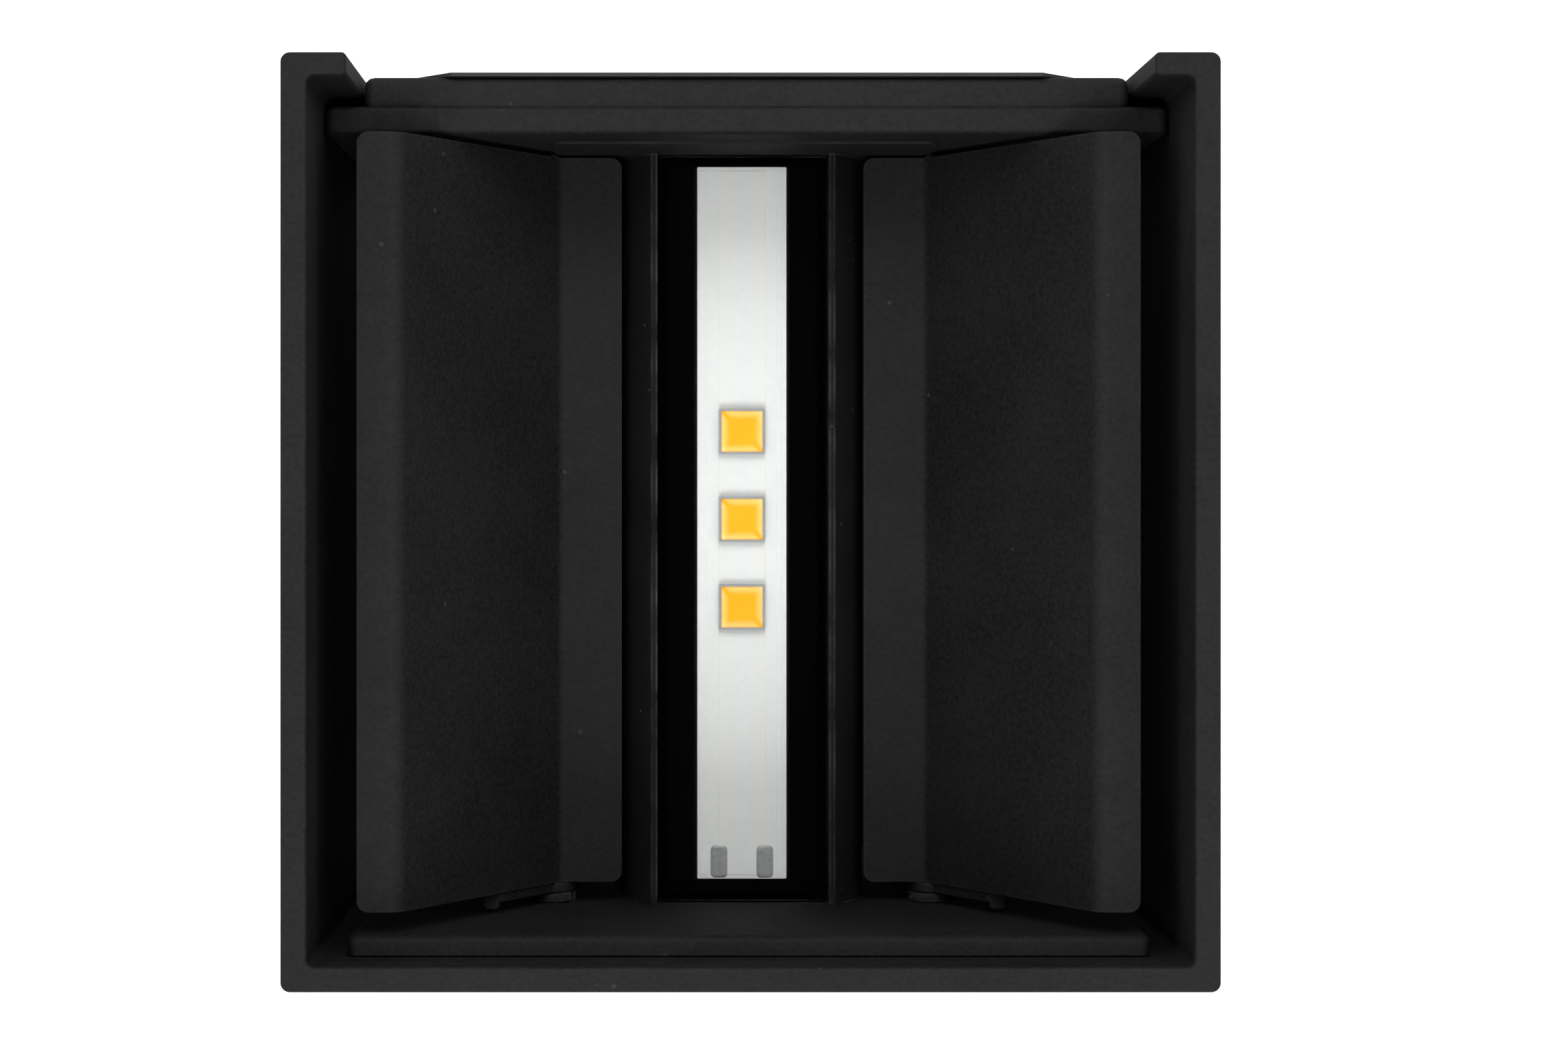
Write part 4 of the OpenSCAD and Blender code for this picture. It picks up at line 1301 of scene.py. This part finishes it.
@dataclass
class Column:
    """The rounded light column, the front plate and their screws."""

    shop: Workshop
    radius: float = 14.5 * MM
    mid: float = 21.0 * MM
    channel_w: float = 20.0 * MM
    channel_depth: float = 7.3 * MM
    chamber_wall: float = 2.2 * MM
    floor: float = 2.0 * MM
    land_edge: float = 0.15 * MM
    plate_corner: float = 1.2 * MM
    plate_edge: float = 0.7 * MM
    sheet_edge: float = 0.18 * MM
    head_radius: float = 2.2 * MM
    head_height: float = 1.6 * MM
    sunk: float = 0.95 * MM

    def outline(self, top: float) -> Loop:
        """Draws the column's section with a light channel at each end.

        Args:
            top: the height of the flat lands.

        Returns:
            The outline in x and z.
        """
        half, r, rise = self.channel_w / 2, self.radius, top - self.mid / 2
        land, bottom = math.sqrt(r * r - rise**2), top - self.channel_depth
        turns = [math.atan2(rise, land) * k / 20 for k in range(20)]
        quarter = [(r * math.cos(turn), self.mid / 2 + r * math.sin(turn)) for turn in turns]
        quarter += [(land, top), (half, top), (half, bottom)]
        radii = [0.0] * len(turns) + [0.12 * MM, self.land_edge, 0.3 * MM]
        corners = quarter + [(-x, z) for x, z in reversed(quarter)]
        corners += [(-x, -z) for x, z in quarter] + [(x, -z) for x, z in reversed(quarter)]
        return fillet(corners, (radii + radii[::-1]) * 2, 4)

    def build(self) -> None:
        """Makes the column, the plate and the screws that hold them."""
        done, r, sunk = self.shop.finishes, self.head_radius, self.sunk
        lo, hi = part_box("light_column")
        chamber_h = 2 * (hi.z - self.channel_depth - self.floor)
        chamber = rectangle(2 * (self.radius - self.chamber_wall), chamber_h, 1.2 * MM)
        column = slab("column", [self.outline(hi.z), chamber], lo.y, hi.y, Along.DEPTH, 0.1 * MM)
        # The column wears the darker copy of the coat, which paints the shade deep in the lamp.
        done.dress(shaded(column, 30), done.column, "lamp", "light_column")
        self.plate()
        lo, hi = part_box("column_rear_screws")
        seat = hi.y - self.head_height
        seed = points([(x, seat, z) for x, z in inset_corners(lo, hi, r)], (0, 1, 0))
        self.shop.fasteners("column_screws_rear", done.black_steel, "column_rear_screws", seed, Head_Foot=2 * r,
                            Head_Top=1.9 * r, Head_Height=self.head_height, Shank=2.5 * MM, Length=seat - lo.y,
                            Recess=2.3 * MM, Recess_Depth=1.1 * MM)
        lo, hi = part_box("front_plate_screws")
        seed = points([(x, lo.y + sunk, z) for x, z in inset_corners(lo, hi, r)], (0, -1, 0))
        self.shop.fasteners("column_screws_front", done.black_steel, "front_plate_screws", seed, 0.05 * MM,
                            Head_Foot=2.5 * MM, Head_Top=2 * r, Head_Height=sunk, Shank=2.45 * MM,
                            Length=hi.y - lo.y - sunk, Recess=1.8 * MM, Recess_Depth=0.8 * MM)

    def plate(self) -> None:
        """Makes the plate inside the shell's front wall, with its countersunk holes."""
        lo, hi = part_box("front_plate")
        near, far = lo.y - MM, hi.y + MM
        width, height = hi.x - lo.x, hi.z - lo.z
        outline, inner = (rectangle(width - less, height - less, self.plate_corner) for less in (0.0, 0.02 * MM))
        plate = slab("inner_front_plate", [outline], lo.y, hi.y, Along.DEPTH, self.plate_edge)
        front = slab("front_half", [inner], lo.y, (lo.y + hi.y) / 2, Along.DEPTH, self.sheet_edge)
        plate = combine(plate, [front], "UNION")
        cutters = []
        for node, head, shank in (("front_pivot_pins", 1.8 * MM, 1.0 * MM), ("front_plate_screws", 2.2 * MM, 1.3 * MM)):
            fall = head - shank
            for at in inset_corners(*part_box(node), head):
                hole, sink = circle(shank, at, SMALL_ROUND), circle(head, at, SMALL_ROUND)
                cutters.append(slab("hole", [hole], near, far, Along.DEPTH))
                cutters.append(slab("sink", [sink], near, lo.y + fall, Along.DEPTH, fall - 0.05 * MM))
        plate = combine(plate, cutters, "DIFFERENCE")
        self.shop.finishes.dress(shaded(plate), self.shop.finishes.coat, "lamp", "front_plate")


@dataclass
class LightEngine:
    """One level's LED board in its black frame, under a clear window."""

    shop: Workshop
    level: Level
    led_count: int = 3
    led_pitch: float = 10.4 * MM
    led_side: float = 5.4 * MM
    led_wall: float = 0.27 * MM
    gel_share: float = 0.62
    gel_sunk: float = 0.04 * MM
    pad: Point = (2.05 * MM, 0.2 * MM)
    rail: float = 0.03 * MM
    rails: tuple[Point, ...] = ((-4.55 * MM, 0.85 * MM), (4.45 * MM, 0.75 * MM), (0.0, 5.6 * MM))

    def node(self, stem: str) -> str:
        """Returns the CAD node's name at this level."""
        return f"{stem}_{self.level.name.lower()}"

    def box(self, stem: str) -> tuple[Vector, Vector]:
        """Gives a node's box as if it were at the upper level.

        Args:
            stem: the node's name without its level.

        Returns:
            The lowest and highest corners.
        """
        lo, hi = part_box(self.node(stem))
        if self.level is Level.LOWER:
            lo.z, hi.z = -hi.z, -lo.z
        return lo, hi

    def finish(self, piece: Piece, finish: Any, stem: str) -> None:
        """Takes a piece drawn for the upper level to its own level and dresses it as a node."""
        handed(piece, Side.RIGHT, self.level)
        self.shop.finishes.dress(shaded(piece), finish, "lamp", self.node(stem))

    def build(self) -> None:
        """Makes the frame, board, LEDs, pads, leads, seal and window."""
        done = self.shop.finishes
        for stem, finish, width in (("light_frame", done.moulding, 0.2), ("window_seal", done.moulding, 0.12),
                                    ("thermal_pad", done.thermal, 0.05), ("led_leads", done.rubber, 0.05)):
            self.shop.soften(self.node("inner_" + stem), self.node(stem), finish, width * MM)
        self.board()
        self.leds()
        lo, hi = self.box("window_glass")
        outline = rectangle(hi.x - lo.x, hi.y - lo.y, 0.5 * MM, (0, (lo.y + hi.y) / 2))
        pane = slab(self.node("window_pane"), [outline], lo.z, hi.z, Along.HEIGHT, 0.12 * MM)
        self.finish(pane, done.glass, "window_glass")

    def board(self) -> None:
        """Makes the board with the raised copper rails under its lacquer."""
        lo, hi = self.box("led_board")
        mid, width, length = (lo.y + hi.y) / 2, hi.x - lo.x, hi.y - lo.y
        outline = rectangle(width, length, 0.2 * MM, (0, mid))
        board = slab(self.node("board"), [outline], lo.z, hi.z, Along.HEIGHT, 0.09 * MM)
        low, top, edge = hi.z - 0.3 * MM, hi.z + self.rail, 0.028 * MM
        loops = [rectangle(w, length - 0.9 * MM, 0.2 * MM, (x, mid)) for x, w in self.rails]
        board = combine(board, [slab("rail", [loop], low, top, Along.HEIGHT, edge) for loop in loops], "UNION")
        self.finish(board, self.shop.finishes.board, "led_board")

    def leds(self) -> None:
        """Makes the row of LEDs, their phosphor windows and the solder pads."""
        done, grow = self.shop.finishes, self.shop.growers
        lo, hi = self.box("led_packages")
        middle, tall = (lo + hi) / 2, hi.z - lo.z
        row = {"Count": self.led_count, "Pitch": self.led_pitch}
        bodies = grow.grow(self.node("led_body"), points([(0, 0, 0)]), grow.led_body, done.material(done.package),
                           0.06 * MM, Side=self.led_side, Height=tall, Wall=self.led_wall, Middle=tuple(middle), **row)
        self.finish(bodies, done.package, "led_packages")
        deep = tall * self.gel_share
        middle.z = hi.z - self.gel_sunk - deep / 2
        gels = grow.grow(self.node("led_gel"), points([(0, 0, 0)]), grow.gel, done.material(done.phosphor),
                         Side=self.led_side - 2 * self.led_wall, Height=deep, Middle=tuple(middle), **row)
        self.finish(gels, done.phosphor, "led_phosphors")
        lo, hi = self.box("solder_pads")
        half, (wide, tall) = (hi.y - lo.y) / 2, self.pad
        seed = points([(x, lo.y + half, lo.z) for x in (lo.x + wide / 2, hi.x - wide / 2)])
        pads = grow.grow(self.node("tinned_pad"), seed, grow.pad, done.material(done.solder), 0.04 * MM, Width=wide,
                         Length=2 * half, Height=tall)
        self.finish(pads, done.solder, "solder_pads")


@dataclass
class BeamFlap:
    """One bent flap with its hinge ear, for one side and level."""

    shop: Workshop
    side: Side
    level: Level
    thick: float = 2.0 * MM
    inner_bend: float = 2.4 * MM
    outer_bend: float = 1.6 * MM
    corner: float = 1.25 * MM
    boss: float = 2.0 * MM
    bore_depth: float = 6.3 * MM
    pin: float = 2.0 * MM
    pin_head: float = 3.6 * MM
    ear_radius: float = 2.6 * MM
    ear_thick: float = 1.2 * MM
    ear_edge: float = 0.22 * MM
    arm: float = 11.0 * MM
    finger_w: float = 1.9 * MM
    finger_h: float = 5 * MM
    edge: float = 0.28 * MM

    def name(self, stem: str) -> str:
        """Returns a name with this flap's level and side."""
        return f"{stem}_{self.level.name.lower()}_{self.side.name.lower()}"

    def box(self, stem: str) -> tuple[Vector, Vector]:
        """Gives a node's box as if it were the upper right one.

        Args:
            stem: the node's name without its level and side.

        Returns:
            The lowest and highest corners.
        """
        lo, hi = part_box(self.name(stem))
        turn = Vector((self.side.value, 1, self.level.value))
        a, b = lo * turn, hi * turn
        return Vector(map(min, a, b)), Vector(map(max, a, b))

    def pivot(self) -> Vector:
        """Gives the pivot in x and z from the pins' box."""
        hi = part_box("front_pivot_pins")[1]
        return Vector((hi.x - self.pin_head / 2, hi.z - self.pin_head / 2))

    def line(self) -> tuple[Vector, Vector, Vector, Vector]:
        """Finds the sheet's middle line.

        Returns:
            Its inner tip, inner bend, outer bend and outer tip.
        """
        lo, hi = self.box("flap")
        half, pivot = self.thick / 2, self.pivot()
        low, high = pivot.y + 0.8 * MM, hi.z - half
        bend_in = Vector((pivot.x - 0.4 * MM, low))
        bend_out = Vector((hi.x - 4.6 * MM + half / 2, high))
        return Vector((lo.x, low)), bend_in, bend_out, Vector((hi.x, high))

    def seed(self) -> bpy.types.Mesh:
        """Makes the middle line as a seed, with close points where the corners are rounded.

        Returns:
            The seed mesh.
        """
        a, b, c, d = self.line()
        near = [self.corner * (1 - math.cos(math.pi / 2 * k / 7)) for k in range(8)]
        path = [tuple(a + (b - a).normalized() * r) for r in near]
        path += fillet([a, b, c, d], [0, self.inner_bend, self.outer_bend, 0], 8)[1:-1]
        path += [tuple(d + (c - d).normalized() * r) for r in reversed(near)]
        mesh = bpy.data.meshes.new("line")
        mesh.from_pydata([(x, 0, z) for x, z in path], [(i, i + 1) for i in range(len(path) - 1)], [])
        return mesh

    def turning(self, piece: Piece, name: str, node: str) -> None:
        """Takes a finished shape to its side and level, and lets it turn with the flap's body.

        Args:
            piece: the shape, drawn for the upper right.
            name: its name, without level and side.
            node: the CAD node that it replaces, without level and side.
        """
        piece.name = self.name(name)
        handed(piece, self.side, self.level)
        self.shop.finishes.dress(shaded(piece), self.shop.finishes.coat, self.name("flap"), self.name(node))

    def build(self) -> None:
        """Makes the flap and its ear, which turn on one joint."""
        lo, hi = self.box("flap")
        grow, at = self.shop.growers, tuple(self.pivot())
        sheet = grow.grow("sheet", self.seed(), grow.sheet, self.shop.finishes.material(self.shop.finishes.coat),
                          Depth=hi.y - lo.y, Corner=self.corner, Thickness=self.thick)
        sheet.data.transform(Matrix.Translation((0, lo.y, 0)))
        sheet = settle(bevel(sheet, self.edge, 3))
        boss = slab("boss", [circle(self.boss, at)], lo.y, hi.y, Along.DEPTH, 0.2 * MM)
        flap = combine(sheet, [boss], "UNION")
        ends = ((lo.y - MM, lo.y + self.bore_depth), (hi.y - self.bore_depth, hi.y + MM))
        flap = combine(flap, [self.bore(*end) for end in ends], "DIFFERENCE")
        self.turning(flap, "beam_flap", "flap")
        self.ear()

    def bore(self, start: float, end: float) -> Piece:
        """Makes the cutter of a pin bore between two depths."""
        outline = circle(self.pin / 2 + BORE_GAP, tuple(self.pivot()), SMALL_ROUND)
        return slab("bore", [outline], start, end, Along.DEPTH)

    def ear(self) -> None:
        """Makes the stamped ear with its arm and finger."""
        _, bend_in, bend_out, _ = self.line()
        along = (bend_out - bend_in).normalized()
        start = bend_in + 0.3 * MM * Vector((along.y, -along.x))
        lo, hi = self.box("hinge_ear")
        rear = self.box("flap")[0].y
        front = rear - self.ear_thick
        hub, arm = (slab(name, [loop], front, rear, Along.DEPTH, self.ear_edge) for name, loop in (
            ("hub", circle(self.ear_radius, tuple(self.pivot()))),
            ("arm", bar(start, start + along * self.arm, self.thick))))
        plan = rectangle(self.finger_w, rear - lo.y, 0.55 * MM, (hi.x - self.finger_w / 2, (rear + lo.y) / 2))
        finger = slab("finger", [plan], hi.z - self.finger_h, hi.z, Along.HEIGHT, 0.25 * MM)
        ear = combine(arm, [hub, finger], "UNION")
        self.turning(combine(ear, [self.bore(front - MM, rear + MM)], "DIFFERENCE"), "finger_ear", "hinge_ear")


@dataclass
class Pivots:
    """The pins that the flaps turn on, and the split rings that brake them."""

    shop: Workshop
    pin: float = 2.0 * MM
    play: float = 0.06 * MM
    head: float = 3.6 * MM
    sunk: float = 0.8 * MM
    rear_head: float = 1.0 * MM
    ring_radius: float = 2.7 * MM
    ring_band: float = 1.35 * MM
    ring_hook: float = 0.35 * MM
    ring_fill: float = 0.94
    ring_turn: float = 0.5

    def build(self) -> None:
        """Makes the front pins, the rear pins and the rings."""
        done, sunk, tall = self.shop.finishes, self.sunk, self.rear_head
        lo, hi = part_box("front_pivot_pins")
        spots = inset_corners(lo, hi, self.head / 2)
        seed = points([(x, lo.y + sunk, z) for x, z in spots], (0, -1, 0))
        self.shop.fasteners("pins_front", done.black_steel, "front_pivot_pins", seed, 0.05 * MM, Head_Foot=self.pin,
                            Head_Top=self.head, Head_Height=sunk, Shank=self.pin - self.play,
                            Length=hi.y - lo.y - sunk, Recess=1.2 * MM, Recess_Depth=0.3 * MM)
        lo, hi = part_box("rear_pivot_pins")
        seed = points([(x, hi.y - tall, z) for x, z in spots], (0, 1, 0))
        self.shop.fasteners("pins_rear", done.black_steel, "rear_pivot_pins", seed, 0.1 * MM,
                            Head_Foot=self.pin + 2 * MM, Head_Top=self.pin + 1.8 * MM, Head_Height=tall,
                            Shank=self.pin, Length=hi.y - lo.y - tall, Recess=1.2 * MM, Recess_Depth=0.3 * MM)
        self.rings(spots)

    def rings(self, spots: Sequence[Point]) -> None:
        """Makes the four rings as one piece.

        Args:
            spots: the pivots in x and z.
        """
        done, grow = self.shop.finishes, self.shop.growers
        lo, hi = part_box("friction_rings")
        rings = []
        for x, z in spots:
            ring = grow.grow("ring", points([(0, 0, 0)]), grow.ring, done.material(done.ring),
                             Radius=self.ring_radius - self.ring_band / 2, Band=self.ring_band,
                             Height=(hi.y - lo.y) * self.ring_fill, Hook=self.ring_hook)
            spin = Matrix.Rotation(math.pi * (x > 0) - self.ring_turn, 4, "Z")
            turn = Matrix.Rotation(-math.pi / 2, 4, "X") @ spin
            ring.data.transform(Matrix.Translation((x, (lo.y + hi.y) / 2, z)) @ turn)
            rings.append(ring)
        first = rings[0]
        with bpy.context.temp_override(active_object=first, object=first, selected_objects=rings,
                                       selected_editable_objects=rings):
            bpy.ops.object.join()
        first.name = "brake_rings"
        done.dress(shaded(first), done.ring, "lamp", "friction_rings")


@dataclass
class Studio:
    """The floor, the soft lights and the camera."""

    floor_gap: float = 0.3 * MM
    floor_size: float = 6.0
    floor_glow: float = 0.35
    camera_from_centre: Point = (-8.92 * MM, 3.09 * MM)
    camera_height: float = 0.350
    lens: float = 64.86
    shift: Point = (0.0748, -0.0187)
    light_size: float = 0.7
    sky_strength: float = 1.6
    sky_levels: tuple[Point, ...] = ((0.0, 0.85), (0.5, 0.85), (0.8, 0.75), (0.93, 0.5), (0.985, 0.05))

    def build(self) -> None:
        """Makes the camera, the floor, the lamps and the sky."""
        scene = bpy.context.scene
        lo, hi = CAD_BOX
        centre = (lo + hi) / 2
        data = bpy.data.cameras.new("camera")
        data.lens, data.sensor_width = self.lens, 36.0
        data.shift_x, data.shift_y = self.shift
        camera = link("camera", data)
        dx, dy = self.camera_from_centre
        camera.location = (centre.x + dx, centre.y + dy, self.camera_height)
        scene.camera = camera
        scene.view_settings.view_transform = "Standard"
        self.floor(lo.z - self.floor_gap)
        self.lamp("front_light", (-0.15, -0.95, 1.15), 7.0, centre)
        self.lamp("rear_light", (0.1, 0.85, 1.15), 5.5, centre)
        scene.world = self.sky()

    def sky(self) -> bpy.types.World:
        """Makes a sky that is bright at the sides and dark overhead.

        Returns:
            The world.
        """
        world = bpy.data.worlds.new("studio")
        world.use_nodes = True
        tree = Tree(world.node_tree)
        height = tree.split(tree.out("ShaderNodeTexCoord", output="Generated"))[2]
        ramp = tree.put("ShaderNodeValToRGB", {0: height})
        stops = ramp.color_ramp.elements
        stops[0].position, stops[1].position = self.sky_levels[0][0], self.sky_levels[-1][0]
        for place, _ in self.sky_levels[1:-1]:
            stops.new(place)
        for stop, (_, level) in zip(stops, self.sky_levels):
            stop.color = grey(level)
        tree.feed(tree.data.nodes["Background"], {0: Wire(tree, ramp.outputs[0]), 1: self.sky_strength})
        return world

    def floor(self, height: float) -> None:
        """Makes the pale floor.

        Args:
            height: its height.
        """
        s = self.floor_size / 2
        mesh = bpy.data.meshes.new("floor")
        mesh.from_pydata([(-s, -s, height), (s, -s, height), (s, s, height), (-s, s, height)], [], [(0, 1, 2, 3)])
        material = bpy.data.materials.new("floor_pale")
        material.use_nodes = True
        tree = Tree(material.node_tree)
        cloud = tree.noise(tree.out("ShaderNodeTexCoord", output="Object"), 3.0)
        shade = tree.blend(cloud, grey(0.92), grey(0.95))
        tree.feed(tree.data.nodes["Principled BSDF"],
                  {"Base Color": shade, "Roughness": 0.9, "Specular IOR Level": 0.1, "Emission Color": shade,
                   "Emission Strength": self.floor_glow})
        mesh.materials.append(material)
        link("floor", mesh)

    def lamp(self, name: str, place: Sequence[float], power: float, target: Vector) -> None:
        """Hangs a soft square lamp.

        Args:
            name: its name.
            place: where it hangs.
            power: its power in watts.
            target: what it points at.
        """
        data = bpy.data.lights.new(name, "AREA")
        data.shape, data.size, data.energy = "SQUARE", self.light_size, power
        lamp = link(name, data)
        lamp.location = place
        lamp.rotation_euler = (target - lamp.location).to_track_quat("-Z", "Y").to_euler()


def main() -> None:
    """Builds the studio and the lamp, one sub-assembly after another."""
    logging.basicConfig(level=logging.INFO, format="%(name)s: %(message)s")
    Studio().build()
    shop = Workshop(Finishes(Effects()), Growers())
    for assembly in (Shell, Base, Column):
        assembly(shop).build()
    for level in Level:
        LightEngine(shop, level).build()
        for side in Side:
            BeamFlap(shop, side, level).build()
    Pivots(shop).build()


if __name__ == "__main__":
    main()
